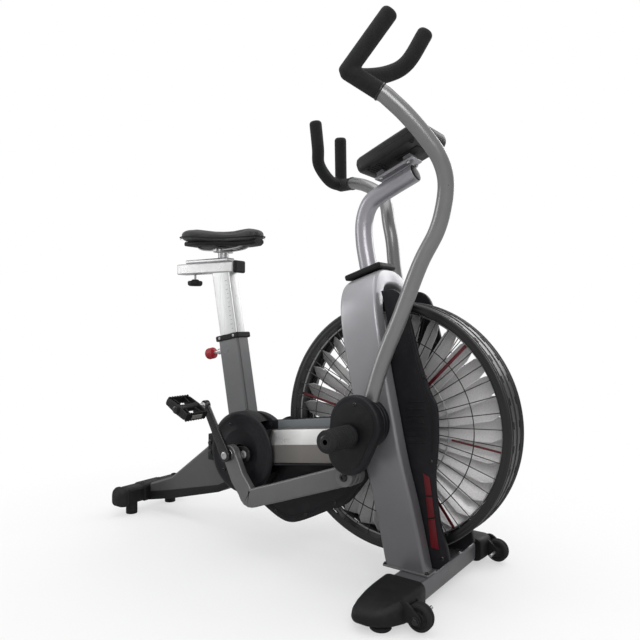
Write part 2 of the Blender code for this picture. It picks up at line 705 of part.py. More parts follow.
# side outline, counter-clockwise from above the crank: x, z
GUARD = (arc(CRANK_AXIS, 0.1160, 57, 225, 14)
         + [(-0.450, 0.152), (-0.403, 0.130), (-0.345, 0.103), (-0.300, 0.096), (-0.250, 0.112),
            (-0.163, 0.156), (-0.115, 0.180), (-0.060, 0.245), (-0.005, 0.330)]
         + arc(FAN_AXIS, 0.031, -50, 96, 6))


def belt_guard():
    """A tray 21 mm deep, open towards the cage."""
    guard = plate("belt_guard", [GUARD], -0.0696, -0.0488)
    cut(guard, plate("guard_room", [inset(GUARD, 0.0020)], -0.0672, -0.0400),
        cyl_y("guard_spindle_room", 0.026, -0.09, -0.04, CRANK_AXIS, 28),
        cyl_y("guard_axle_room", 0.0260, -0.09, -0.04, FAN_AXIS, 24))
    add(guard, BLACK)


def crank_shrouds():
    # right: a dish around the crank, cut away for the beam
    rim_r, depth, hole_r = 0.1180, 0.0380, 0.0160
    profile = [(hole_r, -0.0055), (rim_r - 0.0095, -0.0055), (rim_r - 0.0020, 0.0000),
               (rim_r, depth), (rim_r - 0.0030, depth), (rim_r - 0.0050, 0.0010),
               (rim_r - 0.0115, -0.0030), (hole_r, -0.0030)]
    shroud = lathe("crank_shroud_R", profile, (-0.449, -0.1085, 0.281), 36)
    beam_room = [(-0.70, 0.205), (-0.70, 0.345), (-0.28, 0.400), (-0.28, 0.250)]
    cut(shroud, plate("beam_room", [beam_room], -0.1058, -0.0600),
        cyl_y("shroud_spindle_room", 0.0245, -0.13, -0.09, CRANK_AXIS, 28))
    add(shroud, BLACK)

    # left: a smaller flat ring outboard of its beam
    profile = [(0.0780, 0.0050), (0.0820, -0.0010), (0.0820, -0.0020), (0.0250, -0.0020),
               (0.0250, 0.0050)]
    x, z = CRANK_AXIS
    add(lathe("crank_shroud_L", profile, (x, 0.1078, z), 32), BLACK)


# ---------------------------------------------------------------- cranks, pedals, links
# side is -1 for the right (towards -Y), +1 for the left
def crank_pin(side):
    x, z = CRANK_AXIS
    return (x + side * PIN_R, z)


def pedal_axis(side):
    x, z = CRANK_AXIS
    return (x - side * PEDAL_R * math.cos(PEDAL_ANGLE),
            z - side * PEDAL_R * math.sin(PEDAL_ANGLE))


def lower_pin(angle):
    """Arm's lower pin, angle rearward of straight down."""
    return (-LEVER * math.sin(angle), FAN_Z - LEVER * math.cos(angle))


def crank_arm(name, side):
    pin, pedal_at = crank_pin(side), pedal_axis(side)
    inner_y = side * 0.1159
    web = capsule(CRANK_AXIS, pin, 0.0235, 0.0180, 12)
    bar = capsule(pin, pedal_at, 0.0185, 0.0135, 12)
    arm = plate(name, [web], inner_y, side * 0.1255)
    join(arm, cyl_y(name + "_pin", 0.0100, side * 0.1200, side * 0.1650, pin, 24),
         plate(name + "_bar", [bar], side * 0.1580, side * 0.1710),
         cyl_y(name + "_axle", 0.0070, side * 0.1650, side * 0.2820, pedal_at, 20))
    add(arm, BLACK, (CRANK_AXIS[0], inner_y, CRANK_AXIS[1]))


def pedal(name, side):
    x, z = pedal_axis(side)
    centre = (x, side * PEDAL_Y, z)
    frame = tilted_frame(centre, -PEDAL_TILT)
    body = bevel(box(name, (0.092, 0.078, 0.024), (0, 0, 0), frame), 0.005, 1)
    cut(body, cyl_y(name + "_bore", 0.0075, side * 0.15, side * 0.2840, (x, z), 20),
        *[box(name + "_window_%d" % k, (0.0240, 0.050, 0.06), (k * 0.0255, 0, 0), frame)
          for k in (-1, 1)])
    add(body, BLACK, centre)


def link_bar(name, side, eye):
    """Bar from the crank pin, dipping forward to the arm's lower pin."""
    pin = x, z = crank_pin(side)
    path = [pin, (x + 0.032, 0.218), (x + 0.066, 0.172), (x + 0.086, 0.166),
            (eye[0] - 0.120, 0.243), eye]
    bar = plate(name, [stroke(path, 0.0265, 10), circle(pin, 0.0105, 24)],
                side * 0.1300, side * 0.1540)
    add(bevel(bar, 0.005, 1, 60), FRAME_GRAY, (x, side * 0.1420, z))


def cranks_and_links():
    for letter, side, angle in (("R", -1, REST_ANGLE), ("L", 1, REST_ANGLE - ARM_SWING)):
        crank_arm("crank_arm_" + letter, side)
        pedal("pedal_" + letter, side)
        link_bar("link_" + letter, side, lower_pin(angle))


# ---------------------------------------------------------------- swing arms
# right arm's centre line, pivot to grip: x, y, z
ARM = [(0.000, -0.1720, FAN_Z), (0.045, -0.168, 0.555), (0.088, -0.153, 0.673),
       (0.133, -0.141, 0.797), (0.170, -0.132, 0.872), (0.189, -0.134, 0.932),
       (0.200, -0.149, 0.984), (0.194, -0.170, 1.030), (0.171, -0.195, 1.075),
       (0.137, -0.225, 1.124), (0.101, -0.252, 1.165)]
# the grip forks at the elbow into a straight prong and a curved inner one
ELBOW = Vector((0.033, -0.3010, 1.217))
STRAIGHT_TIP = Vector((0.122, -0.2690, 1.3370))
CURVED_PRONG = [(0.032, -0.240, 1.224), (0.058, -0.165, 1.250), (0.094, -0.135, 1.279),
                (0.134, -0.119, 1.347)]
TO_ELBOW = (ELBOW - Vector(ARM[-1])).normalized()
ARM_END = Vector(ARM[-1]) + TO_ELBOW * 0.012


def swing_arms():
    eye = lower_pin(REST_ANGLE)
    lever = capsule(FAN_AXIS, eye, 0.0300, 0.0260, 12)
    arm = tube("swing_arm_R", catmull(ARM, 2) + [ARM_END], 0.0190, 2)
    join(arm, cyl_y("arm_hub", 0.0340, -0.1950, -0.1320, FAN_AXIS, 32),
         cyl_y("arm_housing", 0.0600, -0.1950, -0.1580, (0.0080, FAN_Z + 0.024), 36),
         plate("arm_lever", [lever], -0.1720, -0.1580),
         cyl_y("arm_boss", 0.0240, -0.1890, -0.1580, eye, 24))
    cut(arm, cyl_y("arm_bore", BORE_R, -0.25, -0.10, FAN_AXIS, 24))
    add_pair(arm, FRAME_GRAY, (0, -0.175, FAN_Z), -ARM_SWING)


def grips():
    grip = tube("grip_R", [ARM_END + TO_ELBOW * 0.0006, ARM_END.lerp(ELBOW, 0.5),
                           ELBOW + TO_ELBOW * 0.004], 0.0205, 3)
    root = ELBOW - (STRAIGHT_TIP - ELBOW).normalized() * 0.006
    straight = [root, ELBOW.lerp(STRAIGHT_TIP, 0.5), STRAIGHT_TIP]
    join(grip, tube("grip_prong_a", straight, 0.0200, 3),
         tube("grip_prong_b", catmull([ELBOW] + CURVED_PRONG, 2), 0.0198, 3))
    add_pair(grip, RUBBER, (0, -0.30, FAN_Z), -ARM_SWING)


def pivot_covers():
    outline = capsule((0.008, FAN_Z + 0.026), (-0.010, FAN_Z - 0.040), 0.0680, 0.0560, 12)
    hole = circle(FAN_AXIS, COVER_HOLE_R, 16)
    cover = plate("pivot_cover_R", [outline, hole], -0.2270, -0.2010)
    add_pair(cover, BLACK, (0, -0.21, FAN_Z), -ARM_SWING)


def foot_pegs():
    profile = [(CLOSE_BORE_R, 0.048), (0.0240, 0.048), (0.0265, 0.044), (0.0265, -0.044),
               (0.0230, -0.050), (CLOSE_BORE_R, -0.050)]
    add_pair(lathe("foot_peg_R", profile, (0, -0.2790, FAN_Z), 24), RUBBER)


# ---------------------------------------------------------------- build
for build in (front_stabilizer, transport_wheels, tower_frame, inner_covers, side_beams,
              rear_spine, rear_stabilizer, seat_tube, seat_post, seat_slider, pull_pin, saddle,
              mast, console, cage_grilles, cage_band, fan_wheel, fan_axle, crank_drive,
              belt_guard, crank_shrouds, cranks_and_links, swing_arms, grips, pivot_covers,
              foot_pegs):
    build()

# the whole bike, cutters included, moves so that the origin lies under its middle
for ob in list(parts.objects) + list(cutters.objects):
    ob.location.x += BIKE_SHIFT
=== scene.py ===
# Air bike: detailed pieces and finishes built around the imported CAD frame.
# +X is the way the rider faces, +Y the rider's left, +Z up, in metres; the floor is z = 0.
# Pieces are laid out from the fan axle at x = 0, then moved so the origin is mid-bike.
from math import acos, atan2, copysign, cos, degrees, exp, hypot, pi, radians, sin

import bmesh
import bpy
from mathutils import Matrix, Vector


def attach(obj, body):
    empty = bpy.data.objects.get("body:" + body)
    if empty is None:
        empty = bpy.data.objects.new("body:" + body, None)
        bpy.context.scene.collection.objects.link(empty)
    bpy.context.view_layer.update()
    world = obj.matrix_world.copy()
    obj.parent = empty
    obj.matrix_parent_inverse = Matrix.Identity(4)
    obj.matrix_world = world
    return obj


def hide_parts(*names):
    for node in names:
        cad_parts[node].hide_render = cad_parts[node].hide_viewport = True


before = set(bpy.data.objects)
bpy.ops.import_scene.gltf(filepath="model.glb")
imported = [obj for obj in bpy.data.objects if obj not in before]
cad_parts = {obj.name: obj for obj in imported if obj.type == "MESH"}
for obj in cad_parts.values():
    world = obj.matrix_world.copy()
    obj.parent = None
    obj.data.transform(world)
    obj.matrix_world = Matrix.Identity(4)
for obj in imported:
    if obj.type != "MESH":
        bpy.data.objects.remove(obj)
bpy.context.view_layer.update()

scene = bpy.context.scene

# ---------------------------------------------------------- driving dimensions
ORIGIN_SHIFT = 0.3475           # fan axle to the bike's origin, along x
FAN_Z = 0.398
FAN_AXIS = (0, FAN_Z)           # axes across the bike are given as (x, z)
CRANK_AXIS = (-0.427, 0.280)
AXLE_BORE_R = 0.0125
CRANK_PIN_R = 0.033             # crank axis to link pin
PEDAL_R = 0.178                 # crank axis to pedal
PEDAL_ANGLE = radians(130)
LEVER = 0.120                   # fan axle to the eye at the foot of a swing arm
LEVER_REST = radians(21)        # the right lever's lean behind straight down
SWING = radians(30)             # the left arm's swing from the right arm's pose
SEAT_TILT = radians(11)
CROWN_TILT = radians(18)
CONSOLE_TILT = radians(22)
STABILIZER_X = 0.115
REAR_X = -0.985
WHEEL_CENTRE = (0.1890, -0.2400, 0.0335)

FRAMES = ("frame", "frame")     # (right, left) bodies for a mirrored pair
WHEELS = ("wheel_right", "wheel_left")
ARMS = ("arm_right", "arm_left")


# ================================================================= node graphs
class Shader:
    """The node tree of a material or world, with short calls for the nodes used here."""

    def __init__(self, owner, output):
        self.owner = owner
        owner.use_nodes = True
        self.tree = owner.node_tree
        self.tree.nodes.clear()
        self.output = self.node(output)
        self.coords = self.node('TexCoord').outputs

    def put(self, socket, value):
        """Link a socket to another, or set its value."""
        if value is None:
            return
        if isinstance(value, bpy.types.NodeSocket):
            self.tree.links.new(value, socket)
        elif isinstance(value, tuple) and len(value) == 3 and socket.type == 'RGBA':
            socket.default_value = (*value, 1.0)
        else:
            socket.default_value = value

    def node(self, kind, inputs=None, **options):
        node = self.tree.nodes.new('ShaderNode' + kind)
        for key, value in options.items():
            setattr(node, key, value)
        for key, value in (inputs or {}).items():
            self.put(node.inputs[key], value)
        return node

    def finish(self, surface):
        self.put(self.output.inputs[0], surface)
        return self.owner

    def principled(self, **inputs):
        named = {key.replace('_', ' '): value for key, value in inputs.items()}
        return self.node('BsdfPrincipled', named).outputs[0]

    def stretched(self, scale):
        return self.node('Mapping', {'Scale': scale, 'Vector': self.coords['Object']}).outputs[0]

    def noise(self, scale, detail=4.0, rough=0.55, distortion=0.0, vector=None):
        return self.node('TexNoise', {
            'Vector': vector or self.coords['Object'], 'Scale': scale, 'Detail': detail,
            'Roughness': rough, 'Distortion': distortion}).outputs[0]

    def voronoi(self, scale, feature='F1', vector=None):
        return self.node('TexVoronoi', {'Vector': vector or self.coords['Object'],
                                        'Scale': scale}, feature=feature).outputs['Distance']

    def grid(self, scale, axes):
        """Two crossed sets of bands, multiplied."""
        waves = [self.node('TexWave', {'Vector': self.coords['Object'], 'Scale': scale},
                           bands_direction=axis).outputs['Fac'] for axis in axes]
        return self.multiply(*waves)

    def spread(self, value, over, to=(0.0, 1.0)):
        """Map the range `over` onto the range `to`, clamped."""
        return self.node('MapRange', {'Value': value, 'From Min': over[0], 'From Max': over[1],
                                      'To Min': to[0], 'To Max': to[1]}).outputs[0]

    def mix(self, factor, first, second, blend='MIX'):
        return self.node('Mix', {0: factor, 6: first, 7: second},
                         data_type='RGBA', blend_type=blend).outputs[2]

    def multiply(self, first, second):
        return self.node('Math', {0: first, 1: second}, operation='MULTIPLY').outputs[0]

    def bump(self, height, strength, distance, under=None):
        return self.node('Bump', {'Height': height, 'Strength': strength, 'Distance': distance,
                                  'Normal': under}).outputs[0]

    def toned(self, noise, color, variation):
        """A colour drifting darker and lighter with a noise."""
        return self.mix(self.spread(noise, over=(0.3, 0.7)),
                        tinted(color, 1 - variation), tinted(color, 1 + variation))

    def edges(self, radius):
        """1 along outer edges: where a rounded normal leaves the face's own."""
        rounded = self.node('Bevel', {'Radius': radius}, samples=4).outputs[0]
        flat = self.node('NewGeometry').outputs['Normal']
        dot = self.node('VectorMath', {0: rounded, 1: flat}, operation='DOT_PRODUCT')
        return self.spread(dot.outputs['Value'], over=(0.97, 0.80))


def new_material(name):
    return Shader(bpy.data.materials.new(name), 'OutputMaterial')


def tinted(color, factor):
    return tuple(min(1.0, c * factor) for c in color)


def painted(name, color, rough=0.34, metal=0.45, variation=0.10, wear=(0.62, 0.62, 0.63),
            coat=0.35, flake=True, wear_amount=0.45, fade=None):
    """Satin powder coat: cloudy tone, orange peel, metal flake, edges rubbed brighter.
    fade (axis, range along it, tone range) is painted shade: the tone runs darker or lighter
    along one axis."""
    mat = new_material(name)
    base = mat.toned(mat.noise(scale=5.0, detail=5.0, rough=0.6), color, variation)
    if flake:
        specks = mat.noise(scale=2600.0, detail=1.0, rough=0.5)
        base = mat.mix(mat.spread(specks, over=(0.60, 0.78), to=(0.0, 0.16)),
                       base, tinted(color, 1.6))
    # painted shade: the tone scaled along one axis, darker where less light falls
    if fade:
        axis, over, to = fade
        place = mat.node('SeparateXYZ', {0: mat.coords['Object']}).outputs[axis]
        base = mat.mix(1.0, base, mat.spread(place, over, to), blend='MULTIPLY')
    rubbed = mat.multiply(mat.edges(radius=0.0022),
                          mat.spread(mat.noise(scale=70.0), over=(0.42, 0.66)))
    base = mat.mix(mat.multiply(rubbed, wear_amount), base, wear)
    cloud = mat.noise(scale=24.0, detail=5.0, rough=0.65)
    peel = mat.bump(mat.noise(scale=420.0, detail=2.0), strength=0.10, distance=0.0006)
    return mat.finish(mat.principled(
        Base_Color=base, Metallic=metal, Coat_Weight=coat, Coat_Roughness=0.22,
        Roughness=mat.spread(cloud, over=(0.25, 0.75), to=(rough - 0.05, rough + 0.08)),
        Normal=mat.bump(mat.noise(scale=8.0, detail=3.0), strength=0.06, distance=0.004,
                        under=peel)))


def brushed(name, color, rough=0.28, along='Z', metal=0.9, depth=0.10, variation=0.08):
    """Brushed or drawn metal, streaked along one axis."""
    mat = new_material(name)
    squeeze = tuple(3 if axis == along else 260 for axis in 'XYZ')
    streak = mat.noise(scale=1.0, detail=3.0, rough=0.6, vector=mat.stretched(squeeze))
    base = mat.mix(mat.spread(mat.noise(scale=7.0), over=(0.35, 0.7), to=(0.0, 0.35)),
                   mat.toned(streak, color, variation), tinted(color, 0.86))
    return mat.finish(mat.principled(
        Base_Color=base, Metallic=metal,
        Roughness=mat.spread(streak, over=(0.3, 0.7), to=(rough - 0.05, rough + 0.12)),
        Normal=mat.bump(streak, strength=depth, distance=0.0005)))


def moulded(name, color, rough=0.5, grain=900.0, depth=0.22, specular=0.35, variation=0.18,
            wear=0.5):
    """Moulded plastic: fine grain, faint flow marks, dust, paler rubbed edges."""
    mat = new_material(name)
    flow = mat.noise(scale=6.0, rough=0.6, distortion=0.4)
    dust = mat.spread(mat.noise(scale=38.0, detail=6.0, rough=0.7),
                      over=(0.52, 0.80), to=(0.0, 0.18))
    base = mat.mix(dust, mat.toned(flow, color, variation),
                   tuple(min(1.0, c + 0.05) for c in color))
    patches = mat.noise(scale=90.0, detail=3.0)
    rubbed = mat.multiply(mat.edges(radius=0.0016),
                          mat.spread(patches, over=(0.4, 0.65), to=(0.0, wear)))
    base = mat.mix(rubbed, base, tuple(min(1.0, c * 1.8 + 0.035) for c in color))
    cloud = mat.noise(scale=16.0, detail=5.0, rough=0.7)
    coarse = mat.bump(mat.noise(scale=grain * 0.35, detail=2.0), strength=depth * 0.6,
                      distance=0.0005)
    return mat.finish(mat.principled(
        Base_Color=base, Specular_IOR_Level=specular,
        Roughness=mat.spread(cloud, over=(0.25, 0.75), to=(rough - 0.07, rough + 0.10)),
        Normal=mat.bump(mat.voronoi(grain), strength=depth, distance=0.0005, under=coarse)))


def rubbery(name):
    """Black rubber with a pale bloom in patches."""
    mat = new_material(name)
    color = (0.016, 0.016, 0.017)
    bloom = mat.spread(mat.noise(scale=14.0, detail=6.0, rough=0.7),
                       over=(0.4, 0.75), to=(0.0, 0.35))
    return mat.finish(mat.principled(
        Base_Color=mat.mix(bloom, color, tuple(c + 0.022 for c in color)),
        Specular_IOR_Level=0.25,
        Roughness=mat.spread(mat.noise(scale=60.0), over=(0.3, 0.7), to=(0.64, 0.84)),
        Normal=mat.bump(mat.noise(scale=700.0, detail=3.0, rough=0.7),
                        strength=0.30, distance=0.0006)))


def foam(name):
    """Closed-cell grip foam: mottled tone, open pores, a soft bloom at grazing angles."""
    mat = new_material(name)
    mottle = mat.noise(scale=120.0, detail=5.0, rough=0.7)
    patch = mat.noise(scale=26.0, rough=0.6)
    base = mat.mix(mat.spread(mottle, over=(0.36, 0.66)),
                   (0.011, 0.011, 0.012), (0.020, 0.020, 0.021))
    base = mat.mix(mat.spread(patch, over=(0.4, 0.7), to=(0.0, 0.20)),
                   base, (0.030, 0.030, 0.031))
    pores = mat.spread(mat.voronoi(scale=520.0), over=(0.05, 0.45))
    base = mat.mix(mat.spread(pores, over=(0.0, 0.35), to=(0.55, 0.0)),
                   base, (0.004, 0.004, 0.004))
    return mat.finish(mat.principled(
        Base_Color=base, Specular_IOR_Level=0.2, Sheen_Weight=0.06, Sheen_Roughness=0.6,
        Roughness=mat.spread(mottle, over=(0.3, 0.7), to=(0.74, 0.92)),
        Normal=mat.bump(pores, strength=0.45, distance=0.0008,
                        under=mat.bump(mottle, strength=0.35, distance=0.0014))))


def vinyl(name):
    """Saddle cover: pebbled leather-grain vinyl, smoother in patches."""
    mat = new_material(name)
    cells = mat.voronoi(scale=330.0, feature='DISTANCE_TO_EDGE',
                        vector=mat.stretched((1, 1, 1)))
    crease = mat.spread(cells, over=(0.0, 0.16))
    tone = mat.noise(scale=9.0, detail=5.0, rough=0.6)
    base = mat.mix(mat.spread(tone, over=(0.3, 0.7)),
                   (0.020, 0.020, 0.021), (0.036, 0.036, 0.038))
    base = mat.mix(mat.spread(crease, over=(0.0, 1.0), to=(0.5, 0.0)),
                   base, (0.005, 0.005, 0.005))
    worn = mat.spread(mat.noise(scale=5.0, detail=2.0), over=(0.4, 0.7))
    fine = mat.bump(mat.noise(scale=900.0, detail=2.0), strength=0.12, distance=0.0004)
    return mat.finish(mat.principled(
        Base_Color=base, Specular_IOR_Level=0.42, Sheen_Weight=0.12, Sheen_Roughness=0.5,
        Roughness=mat.spread(worn, over=(0.0, 1.0), to=(0.52, 0.36)),
        Normal=mat.bump(crease, strength=0.34, distance=0.0007, under=fine)))


def prism_lens(name):
    """Moulded prism reflector."""
    mat = new_material(name)
    color = (0.30, 0.29, 0.27)
    prisms = mat.grid(scale=150.0, axes='XZ')
    return mat.finish(mat.principled(
        Base_Color=mat.mix(prisms, tinted(color, 0.75), color),
        Roughness=mat.spread(mat.noise(scale=40.0), over=(0.3, 0.7), to=(0.10, 0.2)),
        Coat_Weight=0.6, Specular_IOR_Level=0.7,
        Normal=mat.bump(prisms, strength=0.5, distance=0.0008)))


def display(name):
    """Reflective display: grey-green field with a faint dot grid and glare streaks."""
    mat = new_material(name)
    dots = mat.spread(mat.grid(scale=260.0, axes='XY'), over=(0.0, 1.0), to=(0.0, 0.25))
    base = mat.mix(dots, (0.115, 0.135, 0.115), (0.085, 0.10, 0.085))
    glare = mat.spread(mat.noise(scale=11.0, detail=3.0), over=(0.4, 0.7), to=(0.0, 0.3))
    return mat.finish(mat.principled(
        Base_Color=mat.mix(glare, base, (0.16, 0.18, 0.16)),
        Roughness=0.12, Coat_Weight=0.8, Coat_Roughness=0.05))


# painted shade: the tower paint runs darker towards the bottom and lighter towards the top, for
# the light from above
GRAY = painted("gray_powder_coat", (0.235, 0.232, 0.245), variation=0.06,
               fade=('Z', (0.20, 0.78), (0.64, 1.85)))
GRAY_ARM = painted("gray_arm_tube", (0.250, 0.250, 0.252), rough=0.30, metal=0.6)
GRAY_LINK = painted("gray_link_bar", (0.148, 0.148, 0.150), rough=0.38, metal=0.4,
                    wear_amount=0.3)
GRAY_DARK = painted("dark_gray_spine", (0.080, 0.080, 0.082), rough=0.40, metal=0.3,
                    wear_amount=0.25)
GRAY_SEAT = painted("gray_seat_tube", (0.165, 0.167, 0.170), rough=0.30, metal=0.6,
                    wear_amount=0.3)
LILAC = painted("pale_mast_tube", (0.40, 0.39, 0.42), rough=0.30, metal=0.55, variation=0.06)
SILVER = painted("silver_lacquer", (0.50, 0.505, 0.50), rough=0.28, metal=0.6, variation=0.05,
                 coat=0.4)
# painted highlight and painted shade: a much paler copy of the beam paint for its light-catching
# sloped face, darker towards the rear end where the crank cover shades it
SLOPE_HIGHLIGHT = painted("painted_highlight_slope", (0.66, 0.66, 0.65), rough=0.30, variation=0.05, coat=0.4,
                 flake=False, wear_amount=0.1, fade=('X', (0.02, 0.11), (0.30, 1.0)))
BLUEGRAY = painted("blue_gray_trim", (0.17, 0.185, 0.195), rough=0.40, metal=0.3,
                   variation=0.08, flake=False, wear_amount=0.1)
# painted shade: the beam paint runs darker towards its rear end, where the crank cover shades it
BEIGE = painted("warm_silver_beam", (0.215, 0.202, 0.188), metal=0.55, variation=0.07,
                coat=0.3, flake=False, wear_amount=0.15, fade=('X', (0.02, 0.11), (0.45, 1.0)))
POST = brushed("satin_post", (0.70, 0.705, 0.705), rough=0.32, metal=0.65)
STEEL_Y = brushed("turned_steel", (0.52, 0.52, 0.53), rough=0.30, along='Y')
STEEL_DIM = brushed("blackened_steel", (0.030, 0.030, 0.032), rough=0.42, along='Y', metal=0.5)
STEEL_X = brushed("drawn_steel", (0.55, 0.55, 0.56), rough=0.32, along='X')
BLADE = brushed("fan_sheet", (0.80, 0.79, 0.79), rough=0.34, along='Y', metal=0.35, depth=0.06,
                variation=0.12)
BLACK = moulded("black_moulding", (0.0080, 0.0080, 0.0088), specular=0.28, wear=0.35)
BLACK_SOFT = moulded("black_cover", (0.0078, 0.0078, 0.0100), rough=0.44, grain=1400.0,
                     depth=0.10, specular=0.28, wear=0.35)
BLACK_GLOSS = moulded("black_gloss", (0.008, 0.008, 0.009), rough=0.24, grain=1600.0,
                      depth=0.04, specular=0.5)
HOUSE = moulded("console_moulding", (0.015, 0.015, 0.016), rough=0.44)
RUBBER = rubbery("black_rubber")
FOAM = foam("grip_foam")
VINYL = vinyl("saddle_vinyl")
WIRE = painted("black_wire_coat", (0.007, 0.007, 0.0075), rough=0.36, metal=0.1,
               variation=0.15, wear=(0.12, 0.12, 0.12), coat=0.2, flake=False,
               wear_amount=0.2)
RED = moulded("red_moulding", (0.36, 0.012, 0.020), rough=0.34, depth=0.10, specular=0.5,
              variation=0.12, wear=0.3)
RED_DARK = moulded("dark_red_inlay", (0.115, 0.005, 0.009), rough=0.34, depth=0.10,
                   variation=0.2, wear=0.2)
RED_SHEET = painted("red_fan_rod", (0.11, 0.008, 0.014), rough=0.36, metal=0.3,
                    wear=(0.4, 0.16, 0.16), flake=False, wear_amount=0.2)
REFLECT = prism_lens("clear_reflector")
LCD = display("display_field")


# ============================================================ points and paths
def at_y(axis, y):
    """The point on an (x, z) axis at y."""
    return Vector((axis[0], y, axis[1]))


def turns(count, start=0.0):
    """Angles evenly round a full turn, the first `start` steps in."""
    return [2 * pi * (k + start) / count for k in range(count)]


def catmull(points, per=6):
    """Smooth curve through points, `per` steps a span."""
    pts = [Vector(p) for p in points]
    pts = [2 * pts[0] - pts[1]] + pts + [2 * pts[-1] - pts[-2]]
    out = []
    for i in range(1, len(pts) - 2):
        a, b, c, d = pts[i - 1:i + 3]
        for k in range(per):
            t = k / per
            out.append(0.5 * ((2 * b) + (c - a) * t + (2 * a - 5 * b + 4 * c - d) * t * t
                              + (3 * b - a - 3 * c + d) * t ** 3))
    out.append(pts[-2])
    return out


def tangent(points, i):
    return (points[min(i + 1, len(points) - 1)] - points[max(i - 1, 0)]).normalized()


def arc(centre, radius, start, end, steps):
    """Points in (x, z), from start to end in degrees."""
    angles = [radians(start + (end - start) * i / steps) for i in range(steps + 1)]
    return [(centre[0] + radius * cos(a), centre[1] + radius * sin(a)) for a in angles]


def circle(centre, radius, count=40):
    return arc(centre, radius, 0, 360 - 360 / count, count - 1)


def capsule(first, second, radius1, radius2, steps):
    """Outline round two circles of different size."""
    dx, dz = second[0] - first[0], second[1] - first[1]
    base = degrees(atan2(dz, dx))
    off = degrees(acos((radius1 - radius2) / hypot(dx, dz)))
    return (arc(first, radius1, base + off, base + 360 - off, steps)
            + arc(second, radius2, base - off, base + off, steps))


def mirrored(half):
    """A (radius, height) profile followed by its own reflection in height 0."""
    return half + [(r, -h) for r, h in half[::-1]]


# ================================================================= mesh tools
def bridge(mesh, a, b):
    count = max(len(a), len(b))
    for i in range(count):
        j = (i + 1) % count
        if len(a) == 1:
            mesh.faces.new((a[0], b[j], b[i]))
        elif len(b) == 1:
            mesh.faces.new((a[i], a[j], b[0]))
        else:
            mesh.faces.new((a[i], a[j], b[j], b[i]))


def skin(mesh, rings, caps=True):
    for a, b in zip(rings, rings[1:]):
        bridge(mesh, a, b)
    if caps:
        mesh.faces.new(rings[0][::-1])
        mesh.faces.new(rings[-1])


def ring(mesh, centre, across, over, radius, count):
    return [mesh.verts.new(centre + (across * cos(a) + over * sin(a)) * radius)
            for a in turns(count)]


def sweep(mesh, points, radius, segments=28, round0=0.0, round1=0.0, loop=False):
    """Round bar along points, its ends turned over by the given lengths."""
    pts = [Vector(p) for p in points]
    count = len(pts)
    radii = radius if isinstance(radius, list) else [radius] * count
    if loop:
        along = [(pts[(i + 1) % count] - pts[i - 1]).normalized() for i in range(count)]
    else:
        along = [tangent(pts, i) for i in range(count)]
    normals = [along[0].orthogonal().normalized()]
    for t in along[1:]:
        normals.append((normals[-1] - t * normals[-1].dot(t)).normalized())
    rows = list(zip(pts, along, normals, radii))

    def end_rows(row, length, sign, angles):
        p, t, normal, r = row
        return [(p + t * sign * length * sin(radians(a)), t, normal,
                 r - length * (1 - cos(radians(a)))) for a in angles]

    first, last = rows[0], rows[-1]
    if round0:
        rows = end_rows(first, round0, -1, (90, 70, 50, 30, 15)) + rows
    if round1:
        rows += end_rows(last, round1, 1, (15, 30, 50, 70, 90))
    rings = [ring(mesh, p, normal, t.cross(normal), r, segments) for p, t, normal, r in rows]
    skin(mesh, rings, caps=not loop)
    if loop:
        bridge(mesh, rings[-1], rings[0])


def turn(mesh, profile, origin, axis=(0, 1, 0), segments=48):
    """Turned shape from (radius, height along axis) points.
    The profile closes on itself unless an end lies on the axis."""
    origin, axis = Vector(origin), Vector(axis).normalized()
    across = axis.cross(Vector((0, 0, 1)))
    across = across.normalized() if across.length > 1e-3 else Vector((1, 0, 0))
    over = axis.cross(across)
    rings = []
    for r, h in profile:
        centre = origin + axis * h
        rings.append([mesh.verts.new(centre)] if r < 1e-6
                     else ring(mesh, centre, across, over, r, segments))
    pairs = list(zip(rings, rings[1:]))
    if len(rings[0]) > 1 and len(rings[-1]) > 1:
        pairs.append((rings[-1], rings[0]))
    for a, b in pairs:
        if len(a) > 1 or len(b) > 1:
            bridge(mesh, a, b)


def torus(mesh, radius, thickness, y, segments=96, sides=8):
    """Ring round the fan axis."""
    turn(mesh, [(radius + thickness * cos(a), thickness * sin(a)) for a in turns(sides)],
         at_y(FAN_AXIS, y), segments=segments)


def rounded_rect(half_x, half_y, r, steps=4):
    pts = []
    for x, y, start in ((half_x - r, half_y - r, 0), (r - half_x, half_y - r, 90),
                        (r - half_x, r - half_y, 180), (half_x - r, r - half_y, 270)):
        pts += arc((x, y), r, start, start + 90, steps)
    return pts


def loft(mesh, sections, corner, steps=4):
    """Skin over rounded rectangles: (centre, half axis, other half axis)."""
    rings = []
    for section in sections:
        centre, a, b = (Vector(v) for v in section)
        r = min(corner, a.length * 0.98, b.length * 0.98)
        rings.append([mesh.verts.new(centre + a.normalized() * x + b.normalized() * y)
                      for x, y in rounded_rect(a.length, b.length, r, steps)])
    skin(mesh, rings)


def box(mesh, size, place, rotation=None, corner=0.003, edge=None):
    """Block with rounded corners along its local Z and turned-over ends."""
    edge = corner if edge is None else edge
    move = Matrix.Translation(Vector(place)) @ (rotation or Matrix.Identity(4))
    hx, hy, hz = size[0] / 2, size[1] / 2, size[2] / 2
    sections = [(-hz + edge - edge * sin(radians(a)), edge * (1 - cos(radians(a))))
                for a in (90, 60, 30, 0)]
    sections += [(-z, k) for z, k in sections[::-1]]
    rings = []
    for z, k in sections:
        r = min(max(0.0003, corner - k * 0.5), hx - k, hy - k)
        rings.append([mesh.verts.new(move @ Vector((x, y, z)))
                      for x, y in rounded_rect(hx - k, hy - k, r)])
    skin(mesh, rings)


